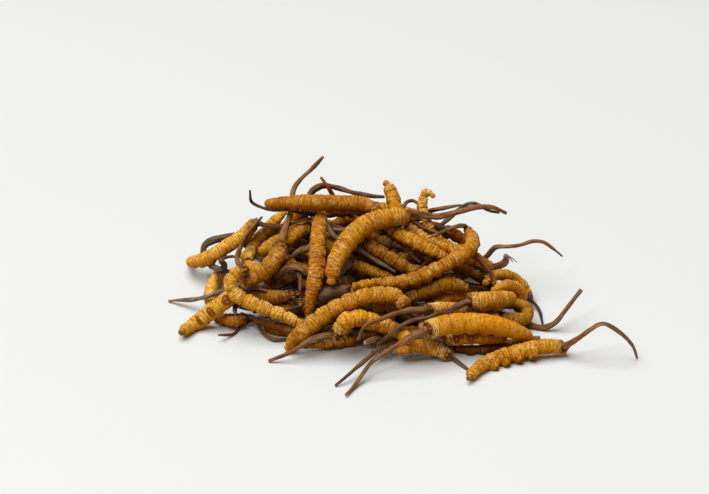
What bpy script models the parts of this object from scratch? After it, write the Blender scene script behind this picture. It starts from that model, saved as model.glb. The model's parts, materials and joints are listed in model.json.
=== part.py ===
"""A heap of dried cordyceps: larva bodies, each with the thin dark stalk of its fungus.

Every specimen grew as one piece, so each is one closed solid: a tapered tube from the tail of the
larva, over its head, to the tip of the stalk. Their lines are drawn by hand over the reference
photograph, and each line is then set back along the line of sight to where it lies in the heap.
"""

import math

import bmesh
import bpy
import numpy as np

MM = 0.001

# ---- the heap -------------------------------------------------------------------------------
MOUND_HALF_WIDTH = 62 * MM
MOUND_HALF_DEPTH = 48 * MM
MOUND_HEIGHT = 34 * MM
MOUND_MIDDLE_X = 4 * MM
CLEARANCE = 0.55 * MM  # between two specimens that touch

# ---- one specimen ---------------------------------------------------------------------------
SIDES = 6
SECTION_SWELL = 1.06  # corner radius of the six-sided section over the round one
FLAT_REACH = math.cos(math.pi / SIDES)  # from the middle to a flat side, over the corner radius
BODY_STEP = 4.4 * MM  # between two rings of the body
STALK_STEP = 5.0 * MM  # between two rings of the stalk
TAIL_GIRTH = 0.56  # of the body's full girth
FULL_FROM = 0.5  # of the body's length, where it is as thick as it gets
NECK_FROM = 0.85
NECK_GIRTH = 0.84
SHOULDER = 0.9 * MM  # from the head's last ring to the foot of the stalk
FOOT_GIRTH = 1.2  # of the stalk's girth, where it leaves the head
TIP_GIRTH = 0.55
LEAST_GIRTH = 1.1 * MM
END_ROUNDNESS = 0.45  # how far an end reaches past its last ring, over that ring's radius

# ---- the line of sight ----------------------------------------------------------------------
# Picture points are pixels of the reference photograph, 709 wide and 494 high, x right and y down.
PICTURE_WIDTH = 709
PICTURE_HEIGHT = 494
LENS = 85 * MM
FILM_WIDTH = 36 * MM
EYE_ELEVATION = math.radians(27)
EYE_DISTANCE = 561 * MM
LOOK_AT_HEIGHT = 19.2 * MM

FOCAL_PIXELS = PICTURE_WIDTH * LENS / FILM_WIDTH
PIXEL = EYE_DISTANCE / FOCAL_PIXELS  # what a pixel covers at the heap
SIGHT = np.array([0, math.cos(EYE_ELEVATION), -math.sin(EYE_ELEVATION)])
RIGHT = np.array([1.0, 0, 0])
UP = np.cross(RIGHT, SIGHT)
EYE = np.array([0, 0, LOOK_AT_HEIGHT]) - EYE_DISTANCE * SIGHT

OCHRE = (0.50, 0.27, 0.07)

heap = []


def specimen(body, stalk, girth, stalk_girth=1.7, depth=0.0, stalk_depth=None):
    """Adds one specimen, its points from tail to head and from head to the stalk's tip.

    Girths are in millimetres. The depth is how far in from the mound's skin it lies, in
    millimetres along the line of sight, and the stalk may have two: at its foot and at its tip.
    A third number in a picture point is a height in millimetres, which goes before the skin.
    """
    if stalk_depth is None:
        stalk_depth = depth
    if not isinstance(stalk_depth, tuple):
        stalk_depth = (stalk_depth, stalk_depth)
    heap.append({
        "name": f"cordyceps_{len(heap) + 1:02d}",
        "body": body,
        "stalk": stalk,
        "girth": girth * MM,
        "stalk_girth": stalk_girth * MM,
        "depth": depth * MM,
        "stalk_depth": (stalk_depth[0] * MM, stalk_depth[1] * MM),
    })


def picture_point_of(place):
    """Where the eye sees a place, in the picture."""
    way = place - EYE
    scale = FOCAL_PIXELS / np.dot(way, SIGHT)
    return (PICTURE_WIDTH / 2 + scale * np.dot(way, RIGHT),
            PICTURE_HEIGHT / 2 - scale * np.dot(way, UP))


def at(x, y, z):
    """The picture point and height of a place, in millimetres from the heap's middle."""
    return (*picture_point_of(np.array([x, y, z]) * MM), z)


# ---- the top of the heap --------------------------------------------------------------------
specimen(  # the straight one that lies across the top
    body=[(266, 204), (300, 202), (340, 203.5), (362, 204), (377, 210)],
    stalk=[(392, 214), (402, 208), (407, 202), (413, 200), (418, 203), (418, 209)],
    girth=5.5, stalk_girth=1.5, depth=0, stalk_depth=9)
specimen(  # the big bent one with the long forked-looking stalk to the right
    body=[(331, 285), (332, 276), (334, 266), (338, 256), (344, 246), (352, 236), (362, 227),
          (375, 221), (390, 217.5), (403, 216)],
    stalk=[(415, 213, 30), (428, 216, 29), (440, 217, 28.5), (450, 214, 29), (462, 211, 29.5),
           (475, 207.5, 30.5), (485, 205.5, 30.5), (495, 208, 29.5), (506, 213, 28)],
    girth=6.4, stalk_girth=3.1, depth=-2, stalk_depth=0)
specimen(  # the reddish one that stands upright in the middle of the face
    body=[(309, 318), (309, 310), (311, 298), (313, 286), (316, 272), (317, 255), (318, 240),
          (319, 228), (322, 219)],
    stalk=[(328, 226), (334, 236), (345, 243), (358, 249), (370, 257), (382, 264), (395, 272)],
    girth=5.2, stalk_girth=2.2, depth=0, stalk_depth=4)
specimen(  # stands on end behind the bent one
    body=[(385, 181, 38), (390, 190, 36), (394, 201, 33), (396, 213, 30), (398, 226, 26)],
    stalk=[(400, 240), (408, 252), (420, 262)],
    girth=4.9, depth=7, stalk_depth=12)
specimen(  # stands on end with a hooked tip
    body=[(433, 197, 33.5), (427, 193, 34.5), (422, 200, 32), (423, 212, 29), (427, 222, 26),
          (432, 233, 23)],
    stalk=[(436, 246), (430, 258), (420, 268)],
    girth=3.6, depth=7, stalk_depth=13)
specimen(  # at the back, its olive stalk arches over the crest
    body=[at(-36, 29, 6), at(-27, 22, 12), at(-20, 18, 21), at(-16, 15, 28)],
    stalk=[(311, 192, 33), (318, 186.5, 34), (335, 187, 33.5), (345, 190, 32.5),
           (358, 194, 31), (370, 196, 30), (384, 197, 29)],
    girth=5.6, stalk_girth=2.3, depth=22, stalk_depth=8)
specimen(  # at the back, its stalk stands up behind the top one
    body=[at(16, 37, 9), at(8, 30, 16), at(0, 22, 23), at(-6, 14, 29)],
    stalk=[(332, 194, 34), (328, 187, 36), (321, 177.5, 38.5)],
    girth=5.4, stalk_girth=1.7, depth=30, stalk_depth=6)
specimen(  # at the back, its thin black stalk curls up to the left of the top
    body=[at(22, 22, 19), at(10, 19, 24), at(-3, 15, 26), at(-14, 10, 27)],
    stalk=[(303, 213, 28), (290, 210, 28), (275, 210, 28), (265, 208, 28), (256, 207, 28),
           (251, 200, 29.5), (250, 191, 32)],
    girth=5.0, stalk_girth=1.3, depth=16, stalk_depth=3)
specimen(  # at the back, its dark flat stalk lies over the right shoulder
    body=[at(-8, 34, 11), at(3, 28, 17), at(13, 20, 22), at(22, 12, 25)],
    stalk=[(428, 212, 28), (437, 208, 29), (448, 207.5, 29), (461, 205, 29)],
    girth=5.2, stalk_girth=2.0, depth=26, stalk_depth=6)
specimen(  # at the back, its stalk is twisted with that of the bent one
    body=[at(12, 34, 6), at(19, 25, 12), at(25, 16, 18), at(28, 8, 22)],
    stalk=[(441, 225, 25), (447, 220, 27), (454, 214, 29), (462, 206.5, 31), (471, 202.5, 32),
           (480, 205, 31), (489, 211, 29), (499, 212.5, 28)],
    girth=5.2, stalk_girth=1.8, depth=24, stalk_depth=(6, -2))

# ---- the left side --------------------------------------------------------------------------
specimen(  # lies low on the far left, its stalk runs back into the heap
    body=[(188, 262, 0), (200, 260), (212, 256), (224, 248), (236, 241), (247, 232), (256, 223)],
    stalk=[(265, 225), (283, 226), (294, 223), (302, 220), (311, 218), (318, 219)],
    girth=5.0, stalk_girth=1.5, depth=4, stalk_depth=5)
specimen(  # at the back, its grey stalk hooks round the one on the far left
    body=[at(-8, 22, 17), at(-18, 18, 18), at(-28, 13, 17), at(-36, 9, 16)],
    stalk=[(238, 237), (222, 239), (208, 242), (203, 249), (205, 257), (211, 265), (220, 271)],
    girth=5.0, stalk_girth=2.6, depth=18, stalk_depth=(7, -1))
specimen(  # slopes down from the top to the left
    body=[(285, 211), (275, 221), (266, 231), (257, 241), (250, 252), (247, 263)],
    stalk=[(248, 274), (255, 284), (265, 290)],
    girth=4.3, depth=7, stalk_depth=12)
specimen(  # seen end on, its tail points at the viewer
    body=[(260, 253), (270, 247), (280, 242), (290, 238)],
    stalk=[(300, 236), (310, 236), (322, 240)],
    girth=4.4, depth=5, stalk_depth=11)
specimen(  # short and thick, its stalk rises behind the top one to the highest tip
    body=[(244, 282), (252, 279), (261, 274), (270, 266), (277, 256), (281, 246)],
    stalk=[(283, 238), (285, 230), (288, 221), (292, 207, 29), (293, 191, 33.5),
           (297, 183, 36), (304, 176, 38), (311, 170, 40), (318, 162, 42), (323, 157, 44)],
    girth=5.2, stalk_girth=2.2, depth=2, stalk_depth=(2, 5))
specimen(  # smooth yellow one between its neighbours
    body=[(247, 263), (252, 268), (260, 272), (268, 276), (276, 276)],
    stalk=[(284, 270), (292, 267), (300, 268), (309, 275)],
    girth=4.6, stalk_girth=2.4, depth=6, stalk_depth=6)
specimen(  # its stalk hangs straight down
    body=[(268, 285), (276, 281), (287, 278), (296, 274)],
    stalk=[(301, 272), (300, 280), (300, 290)],
    girth=3.6, stalk_girth=1.9, depth=9, stalk_depth=5)
specimen(  # dark one whose grey stalk lies out to the left
    body=[(301, 293), (288, 296), (275, 297), (260, 296), (246, 294)],
    stalk=[(236, 292, 9), (224, 292.5, 7.5), (212, 294.5, 6), (203, 298, 4.5), (194, 299.5, 3),
           (183, 300, 1.5), (169, 301, 0)],
    girth=4.2, stalk_girth=2.2, depth=8, stalk_depth=(3, -1))
specimen(  # big arc at the front of the left side
    body=[(303, 324), (292, 319), (280, 314), (265, 309), (252, 303), (240, 298), (232, 290),
          (230, 281), (236, 273), (243, 270)],
    stalk=[(239, 265), (237, 258), (240, 248), (246, 237), (254, 226), (262, 217)],
    girth=5.3, stalk_girth=1.9, depth=-1, stalk_depth=0)
specimen(  # stands on the left edge
    body=[(212, 309), (210, 300), (211, 290), (215, 281), (222, 271)],
    stalk=[(225, 264), (219, 261), (226, 257), (236, 257)],
    girth=4.3, stalk_girth=1.9, depth=2, stalk_depth=4)
specimen(  # lies on the table at the front left, its legs to the viewer
    body=[(180, 333, 0), (190, 327, 0), (200, 320, 0), (210, 313), (220, 305), (228, 299),
          (237, 292)],
    stalk=[(246, 288), (255, 288), (266, 291)],
    girth=5.4, depth=0, stalk_depth=6)
specimen(  # short one under the arc, a dark stalk sweeps below it
    body=[(214, 317, 0), (224, 319, 0), (234, 320, 0), (243, 318, 0)],
    stalk=[(252, 316, 3), (257, 322, 2), (261, 330, 0), (268, 337, 0), (278, 340, 0), (288, 340, 0)],
    girth=4.2, stalk_girth=1.5, depth=2, stalk_depth=2)
specimen(  # brown one on the table, its stalk to the left
    body=[(306, 326, 0), (296, 328, 0), (282, 330, 0), (268, 326, 0)],
    stalk=[(257, 319, 3), (247, 320, 3), (241, 326, 2), (238, 332, 0), (229, 335, 0), (219, 335, 0)],
    girth=3.9, stalk_girth=1.6, depth=5, stalk_depth=(4, 1))
specimen(  # only the cut end of its stalk shows below the arc
    body=[(292, 308), (279, 307), (266, 305), (254, 306)],
    stalk=[(244, 307), (236, 305), (232, 309), (235, 314)],
    girth=4.2, stalk_girth=2.2, depth=9, stalk_depth=(6, 1))
specimen(  # its legs show under the top one
    body=[(281, 245), (290, 239), (299, 231), (310, 226)],
    stalk=[(322, 225), (335, 226), (346, 229)],
    girth=4.6, depth=7, stalk_depth=12)
specimen(  # flat olive stalk between the left side and the upright one
    body=[(342, 250), (332, 247), (322, 246), (314, 247)],
    stalk=[(307, 248), (300, 251), (291, 256), (284, 263)],
    girth=4.6, stalk_girth=2.6, depth=9, stalk_depth=7)

# ---- the middle -----------------------------------------------------------------------------
specimen(  # its grey stalk bends back on itself
    body=[(398, 281), (388, 278), (376, 273), (362, 267), (350, 264)],
    stalk=[(343, 267), (341, 274), (344, 282), (352, 288)],
    girth=4.0, stalk_girth=1.5, depth=9, stalk_depth=6)
specimen(  # ringed one that slopes down to the right
    body=[(424, 276), (410, 270), (398, 263), (385, 256), (372, 248), (359, 240)],
    stalk=[(348, 234), (338, 230), (330, 230)],
    girth=5.0, depth=6, stalk_depth=9)
specimen(  # above it, with a row of leg dots
    body=[(452, 262), (443, 257), (435, 252), (420, 244), (405, 237), (388, 228)],
    stalk=[(376, 226), (364, 222), (352, 214)],
    girth=4.6, depth=4, stalk_depth=9)
specimen(  # knobbly one with its red head at the upper left
    body=[(462, 256), (452, 251), (440, 245), (428, 239), (417, 233), (406, 226)],
    stalk=[(402, 219), (411, 222), (422, 227), (435, 232)],
    girth=3.3, stalk_girth=1.2, depth=6, stalk_depth=4)
specimen(  # the long one that crosses the middle and hooks up at the right
    body=[(352, 287), (370, 284), (390, 283), (405, 281), (420, 277), (435, 270), (450, 262),
          (462, 255), (471, 248), (477, 239), (475, 231)],
    stalk=[(468, 226), (460, 226), (451, 228), (442, 232), (428, 238)],
    girth=4.9, stalk_girth=1.6, depth=-1, stalk_depth=0)
specimen(  # thick dark stump beside the upright one
    body=[(404, 308), (390, 306), (376, 304), (362, 298), (350, 291)],
    stalk=[(341, 293), (330, 294), (320, 294)],
    girth=4.6, stalk_girth=4.6, depth=5, stalk_depth=3)
specimen(  # ochre one under the long one
    body=[(468, 290), (460, 286), (448, 284), (434, 288), (420, 292), (407, 298)],
    stalk=[(397, 301), (388, 303), (378, 300)],
    girth=5.4, depth=3, stalk_depth=9)
specimen(
    body=[(470, 296), (455, 297), (443, 299), (430, 304)],
    stalk=[(418, 308), (406, 305), (396, 309)],
    girth=3.6, depth=6, stalk_depth=9)
specimen(  # behind the hook on the right shoulder
    body=[(472, 247), (464, 241), (455, 235), (446, 230)],
    stalk=[(437, 226), (428, 229), (418, 236)],
    girth=4.2, depth=9, stalk_depth=13)
specimen(  # its broken stump carries a long thin stalk out to the right
    body=[at(20, 30, 6), at(30, 21, 8), at(38, 11, 11), at(42, 2, 13)],
    stalk=[(487, 257, 16), (490, 249, 18), (500, 246.5, 18), (510, 246.5, 18), (520, 245.5, 18),
           (530, 241.5, 18.5), (540, 241, 18), (547, 244, 16.5), (555, 250, 14), (562, 256, 11.5)],
    girth=5.0, stalk_girth=2.3, depth=20, stalk_depth=9)
specimen(  # thick dark red one that slants down behind the rings
    body=[(493, 289), (484, 281), (472, 273), (460, 267), (448, 262)],
    stalk=[(438, 258), (428, 255), (418, 254)],
    girth=3.6, depth=9, stalk_depth=14)
specimen(  # dark red stalk that slants down between the rings
    body=[(440, 251), (450, 250), (460, 250), (469, 252)],
    stalk=[(476, 256), (482, 262), (488, 268), (493, 276), (497, 286)],
    girth=4.0, stalk_girth=2.0, depth=8, stalk_depth=3)
specimen(  # at the back right, its short stalk curls at the tip
    body=[at(28, 31, 4), at(37, 23, 4), at(44, 13, 6), at(46, 5, 8)],
    stalk=[(488, 269, 9), (494, 267.5, 10), (501, 265, 11), (507, 261, 11.5), (506, 255, 12.5)],
    girth=5.0, stalk_girth=1.9, depth=14, stalk_depth=8)

# ---- the right side -------------------------------------------------------------------------
specimen(  # outer ring at the right edge, a thin black stalk hangs from it
    body=[(484, 285), (489, 279), (497, 275), (507, 275), (517, 280), (525, 288), (529, 297)],
    stalk=[(534, 303), (539, 309), (541, 317), (543, 325, 0)],
    girth=3.7, stalk_girth=1.2, depth=6, stalk_depth=4)
specimen(  # inner ring
    body=[(492, 292), (501, 287), (511, 286), (519, 290), (522, 297), (518, 303)],
    stalk=[(510, 307), (500, 306)],
    girth=4.1, depth=2, stalk_depth=6)
specimen(  # pale neck to the left, its stalk runs far down over the front
    body=[(513, 297), (503, 299), (493, 300.5), (482, 301), (469, 301)],
    stalk=[(460, 305), (452, 309), (441, 314), (428, 317.5), (414, 320), (402, 325), (393, 332),
           (385, 338), (376, 347)],
    girth=6.0, stalk_girth=2.1, depth=-1, stalk_depth=-2)
specimen(  # turns back on itself at the right edge
    body=[(493, 303), (506, 304), (518, 304.5), (526, 307), (528.5, 313), (525, 318), (517, 320),
          (508, 318), (499, 315.5)],
    stalk=[(491, 312), (482, 308), (472, 306)],
    girth=4.1, stalk_girth=1.7, depth=3, stalk_depth=8)
specimen(  # only its stalk shows, on the table at the right with its tip in the air
    body=[(462, 332), (475, 330), (489, 328), (502, 326), (513, 323)],
    stalk=[(521, 322.5, 3.5), (530, 325.5, 2), (540, 328, 2), (550, 327, 2.5), (557, 321, 4),
           (564, 312, 6.5), (570, 304, 8.5), (577, 296, 10.5), (581, 290, 12)],
    girth=4.4, stalk_girth=2.3, depth=8, stalk_depth=4)
specimen(  # pale neck to the left, red-brown foot of the stalk
    body=[(498, 317), (486, 314), (470, 311), (455, 309), (440, 308), (427, 310)],
    stalk=[(416, 310), (403, 311), (391, 315), (382, 319), (372, 322), (365, 326), (360, 332),
           (358, 340)],
    girth=4.3, stalk_girth=2.0, depth=1, stalk_depth=-3)

# ---- the front ------------------------------------------------------------------------------
specimen(  # long front diagonal
    body=[(288, 350, 0), (293, 341, 0), (300, 334), (308, 328), (316, 321), (326, 314), (337, 308),
          (350, 302), (365, 297), (380, 295), (392, 295), (401, 300), (405, 307)],
    stalk=[(408, 314), (416, 318), (426, 321)],
    girth=6.3, depth=-2, stalk_depth=4)
specimen(  # arched one at the front, its stalk to the front left
    body=[(412, 340), (402, 334), (392, 328.5), (380, 324), (368, 320.5), (357, 318), (347, 321),
          (340, 327), (337, 336)],
    stalk=[(326, 335, 7), (315, 338, 6), (305, 343, 5), (297, 349, 3.5), (288, 353, 2.5),
           (278, 358, 1), (269, 360.5, 0)],
    girth=5.5, stalk_girth=2.6, depth=-1, stalk_depth=-4)
specimen(  # low at the front, its head to the right
    body=[(398, 353, 0), (406, 348, 0), (416, 346, 0), (427, 347, 0), (438, 350, 0), (447, 355, 0)],
    stalk=[(456, 361, 0), (464, 366, 0), (470, 371, 0)],
    girth=4.5, stalk_girth=1.7, depth=0, stalk_depth=1)
specimen(  # the biggest, along the front, its pale neck to the left
    body=[(530, 339), (522, 334), (512, 330), (500, 326.5), (485, 324), (470, 323), (455, 323.5),
          (440, 326), (424, 331)],
    stalk=[(412, 336, 10.5), (404, 341, 9.5), (395, 347, 8.5), (385, 353, 7.5), (375, 359, 6),
           (368, 366, 4.5), (362, 375, 2.5), (356, 384, 1), (346, 394.5, 0)],
    girth=6.4, stalk_girth=2.6, depth=-2, stalk_depth=-4)
specimen(  # under the biggest, its legs to the viewer and its dark stalk down the front
    body=[(507, 338), (490, 338.5), (475, 338), (460, 339), (444, 340)],
    stalk=[(432, 339), (418, 340, 8), (403, 342, 8), (390, 344, 7.5), (379, 349, 6.5),
           (368, 358, 5), (356, 368, 3), (345, 377.5, 1), (335.5, 385.5, 0)],
    girth=4.0, stalk_girth=1.8, depth=1, stalk_depth=(1, -3))
specimen(  # on the table at the right, its legs under it and its stalk in a high arch
    body=[(468, 379, 0), (475, 371, 0), (485, 364, 0), (497, 358, 0), (510, 354, 0),
          (525, 350, 0), (540, 347, 0), (553, 346, 3), (564, 347, 4)],
    stalk=[(575, 340, 7), (585, 335, 9.5), (592, 328, 12), (599, 323.5, 14), (606, 324, 14),
           (613, 328, 12.5), (620, 332, 11), (628, 340, 8), (634, 348, 4.5), (637, 358, 0)],
    girth=5.0, stalk_girth=2.2, depth=-3, stalk_depth=-3)
specimen(  # dark and low under the biggest
    body=[(540, 338, 0), (525, 341, 0), (505, 345, 0), (485, 349, 0), (470, 350, 0), (456, 348, 0)],
    stalk=[(446, 342, 3), (438, 336, 5), (430, 334, 7)],
    girth=3.3, depth=5, stalk_depth=8)
specimen(  # only a stalk's cut end shows in front of the long diagonal
    body=[(395, 318), (382, 315), (368, 313), (355, 314)],
    stalk=[(345, 319), (337, 323), (328, 325), (320, 326), (311, 324.5)],
    girth=4.2, stalk_girth=1.7, depth=6, stalk_depth=(3, -5))
specimen(  # pale cut stalk end between the front stalks
    body=[(438, 331), (426, 333), (412, 332), (400, 332)],
    stalk=[(390, 334), (380, 337), (371, 341), (364, 343)],
    girth=4.0, stalk_girth=2.0, depth=7, stalk_depth=(4, -2))

# ---- the back and the inside ----------------------------------------------------------------
specimen(
    body=[at(-40, 22, 4), at(-26, 29, 6), at(-9, 33, 8), at(5, 32, 11)],
    stalk=[at(14, 34, 12), at(24, 38, 9), at(34, 41, 5), at(44, 42, 1.5)],
    girth=5.8, depth=44)
specimen(
    body=[at(38, 19, 6), at(25, 23, 12), at(10, 25, 14), at(-6, 25, 13)],
    stalk=[at(-14, 28, 12), at(-22, 32, 9), at(-29, 36, 5), at(-36, 38, 1.5)],
    girth=5.6, depth=36)
specimen(
    body=[at(34, 34, 0), at(20, 40, 0), at(6, 42, 0), at(-8, 42, 0)],
    stalk=[at(-17, 43, 1), at(-26, 46, 1), at(-34, 51, 0)],
    girth=5.4, depth=50)
specimen(
    body=[at(-12, 12, 4), at(2, 14, 6), at(16, 14, 7), at(30, 11, 6)],
    stalk=[at(34, 15, 5), at(37, 20, 4), at(41, 25, 2)],
    girth=5.6, depth=40)
specimen(
    body=[at(-32, 8, 4), at(-19, 3, 9), at(-4, 1, 12), at(10, 3, 11)],
    stalk=[at(19, 4, 9), at(28, 2, 7), at(36, -2, 5)],
    girth=5.4, depth=34)
specimen(
    body=[at(-34, -8, 3), at(-22, -12, 3), at(-8, -13, 4), at(6, -11, 5)],
    stalk=[at(14, -9, 5), at(24, -9, 4), at(32, -12, 3)],
    girth=5.2, depth=32)


# ---- lines ----------------------------------------------------------------------------------
FINE_STEPS = 10  # between two given points


def smooth_line(points):
    """Points on a smooth curve through the given ones, with their heights where both ends have one."""
    flat = np.array([p[:2] for p in points], float)
    heights = [p[2] * MM if len(p) > 2 else None for p in points]
    held = np.vstack([2 * flat[0] - flat[1], flat, 2 * flat[-1] - flat[-2]])
    fine = []
    for k in range(len(flat) - 1):
        before, start, end, after = held[k:k + 4]
        for t in np.arange(FINE_STEPS) / FINE_STEPS:
            place = 0.5 * (2 * start + (end - before) * t
                           + (2 * before - 5 * start + 4 * end - after) * t ** 2
                           + (3 * start - before - 3 * end + after) * t ** 3)
            near = heights[k] if t < 0.5 else heights[k + 1]
            if heights[k] is not None and heights[k + 1] is not None:
                near = heights[k] + t * (heights[k + 1] - heights[k])
            fine.append((place, near))
    fine.append((flat[-1], heights[-1]))
    return fine


def ray(picture_point):
    """The unit direction in which the eye sees a picture point."""
    across = picture_point[0] - PICTURE_WIDTH / 2
    down = picture_point[1] - PICTURE_HEIGHT / 2
    way = FOCAL_PIXELS * SIGHT + across * RIGHT - down * UP
    return way / np.linalg.norm(way)


def distance_to_height(way, height):
    return (height - EYE[2]) / way[2]


def distance_to_skin(way):
    """How far along the line of sight the mound begins, or where it passes nearest."""
    spread = np.array([1 / MOUND_HALF_WIDTH, 1 / MOUND_HALF_DEPTH])
    start = (EYE[:2] - np.array([MOUND_MIDDLE_X, 0])) * spread
    step = way[:2] * spread
    a = -MOUND_HEIGHT * np.dot(step, step)
    b = -2 * MOUND_HEIGHT * np.dot(start, step) - way[2]
    c = MOUND_HEIGHT * (1 - np.dot(start, start)) - EYE[2]
    root = b * b - 4 * a * c
    nearest = -b / (2 * a)
    if root <= 0:
        return nearest
    return nearest - math.sqrt(root) / (2 * abs(a))


# ---- each specimen's rings ------------------------------------------------------------------
def body_girth(share):
    """The body's girth at a share of its length from the tail, over its full girth."""
    grown = math.sin(math.pi / 2 * min(1, share / FULL_FROM)) ** 0.8
    girth = TAIL_GIRTH + (1 - TAIL_GIRTH) * grown
    if share > NECK_FROM:
        girth -= (1 - NECK_GIRTH) * (share - NECK_FROM) / (1 - NECK_FROM)
    return girth


def wished_distance(place, height, radius, depth):
    """How far from the eye a point of a line would like to lie, no lower than the table."""
    way = ray(place)
    if height is None:
        distance = distance_to_skin(way) + radius + depth
    else:
        distance = distance_to_height(way, height)
    return min(distance, distance_to_height(way, FLAT_REACH * SECTION_SWELL * radius))


def run_of(places):
    """The length along a line at each of its points."""
    return np.concatenate([[0], np.cumsum(np.linalg.norm(np.diff(places, axis=0), axis=1))])


def along(part, distances, marks):
    """The picture points and distances at some lengths along a line."""
    flat = np.array([place for place, _ in part])
    run = run_of([ray(p) * d for p, d in zip(flat, distances)])
    return np.column_stack([np.interp(marks, run, flat[:, 0]), np.interp(marks, run, flat[:, 1]),
                            np.interp(marks, run, distances)])


def lay_out(one):
    """Works out the directions, radii and wished distances of one specimen's rings."""
    half_girth = one["girth"] / 2
    half_stalk = one["stalk_girth"] / 2
    body = smooth_line(one["body"])
    stalk = smooth_line([one["body"][-1]] + one["stalk"])
    middle = len(stalk) // 2
    body_way = [wished_distance(place, height, half_girth, one["depth"]) for place, height in body]
    stalk_way = [wished_distance(place, height, half_stalk, one["stalk_depth"][int(k > middle)])
                 for k, (place, height) in enumerate(stalk)]
    body_length = run_of([ray(p) * d for (p, _), d in zip(body, body_way)])[-1]
    stalk_length = run_of([ray(p) * d for (p, _), d in zip(stalk, stalk_way)])[-1]

    body_marks = np.linspace(0, body_length, max(5, round(body_length / BODY_STEP) + 1))
    body_marks[0] = END_ROUNDNESS * TAIL_GIRTH * half_girth
    stalk_marks = np.linspace(SHOULDER, stalk_length, max(3, round(stalk_length / STALK_STEP) + 1))
    rings = np.vstack([along(body, body_way, body_marks), along(stalk, stalk_way, stalk_marks)])

    radii = [half_girth * body_girth(mark / body_length) for mark in body_marks]
    order = [one["depth"]] * len(radii)
    for number, mark in enumerate(stalk_marks):
        share = mark / stalk_length
        girth = FOOT_GIRTH if number == 0 else 1 - (1 - TIP_GIRTH) * share
        radii.append(max(LEAST_GIRTH / 2, half_stalk * girth))
        order.append(one["stalk_depth"][int(share > 0.5)])

    one["radii"] = SECTION_SWELL * np.array(radii)
    one["order"] = np.array(order)
    one["ways"] = np.array([ray(ring[:2]) for ring in rings])
    one["floor"] = np.array([distance_to_height(way, FLAT_REACH * radius)
                             for way, radius in zip(one["ways"], one["radii"])])
    one["wished"] = np.minimum(rings[:, 2], one["floor"])
    one["body_rings"] = len(body_marks)


# ---- the heap settles -----------------------------------------------------------------------
LOOSE_ROUNDS = 220
TIGHT_ROUNDS = 160
LAST_ROUNDS = 150
SAMPLE_STEP = 1.3 * MM
CROSSING_GAP = 3  # samples between two crossings of the same pair
LOOSE_EASE = 0.35  # how much a line is drawn to its own smooth run in each round
TIGHT_EASE = 0.12
WISH_PULL = 0.02
BODY_BENDS = 3  # the degree of a body's smooth run
STALK_BENDS = 4
SPREAD_RINGS = 4.5


def projector(count, degree):
    """The matrix that replaces count evenly spaced values by their best polynomial."""
    powers = np.vander(np.linspace(-1, 1, count), min(degree, count - 1) + 1)
    return powers @ np.linalg.pinv(powers)


def smoother(one):
    """The matrix that makes a smooth run of a specimen's distances, body and stalk each."""
    count = len(one["radii"])
    body = one["body_rings"]
    joined = body - 2  # where the stalk's run begins, so that it goes on from the body's
    matrix = np.zeros((count, count))
    matrix[:body, :body] = projector(body, BODY_BENDS)
    matrix[body:, joined:] = projector(count - joined, STALK_BENDS)[body - joined:]
    return matrix


def spreading(count):
    """How much of one ring's move its neighbours share, which makes a long low bend."""
    away = np.abs(np.subtract.outer(np.arange(count), np.arange(count)))
    return np.clip(1 - (away / SPREAD_RINGS) ** 2, 0, None)


def numbered_samples():
    """Points along every specimen, as weights on its rings, with radius and place in the order."""
    rings_before = 0
    first, share, owner, radius, order = [], [], [], [], []
    for number, one in enumerate(heap):
        places = one["ways"] * one["wished"][:, None]
        gaps = np.linalg.norm(np.diff(places, axis=0), axis=1)
        for k, gap in enumerate(gaps):
            count = max(1, math.ceil(gap / SAMPLE_STEP))
            for j in range(count):
                t = j / count
                first.append(rings_before + k)
                share.append(t)
                owner.append(number)
                radius.append((1 - t) * one["radii"][k] + t * one["radii"][k + 1])
                order.append(one["order"][k if t < 0.5 else k + 1] - 1e-6 * number)
        rings_before += len(one["radii"])
    return [np.array(x) for x in (first, share, owner, radius, order)]


def close_pairs(ways, wished, first, share, owner, radius, order):
    """Pairs of samples of two specimens that overlap in the picture, the one behind first."""
    at = EYE + ((1 - share)[:, None] * ways[first] * wished[first][:, None]
                + share[:, None] * ways[first + 1] * wished[first + 1][:, None])
    flat = np.column_stack([(at - EYE) @ RIGHT, (at - EYE) @ UP])
    flat *= (EYE_DISTANCE / ((at - EYE) @ SIGHT))[:, None]
    behind, before = [], []
    for number in range(len(heap)):
        mine = np.nonzero(owner == number)[0]
        others = np.nonzero(owner > number)[0]
        off = np.linalg.norm(flat[mine][:, None] - flat[others][None], axis=2)
        reach = 1.12 * (radius[mine][:, None] + radius[others][None] + CLEARANCE)
        rows, columns = np.nonzero(off < reach)
        here, there = mine[rows], others[columns]
        for other in np.unique(owner[there]):
            chosen = owner[there] == other
            a, b = here[chosen], there[chosen]
            crossings = np.split(np.arange(len(a)), np.nonzero(np.diff(a) > CROSSING_GAP)[0] + 1)
            for crossing in crossings:
                i, j = a[crossing], b[crossing]
                if np.mean(order[i] - order[j]) > 0:
                    behind.append(i)
                    before.append(j)
                else:
                    behind.append(j)
                    before.append(i)
    return np.concatenate(behind), np.concatenate(before)


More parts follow.
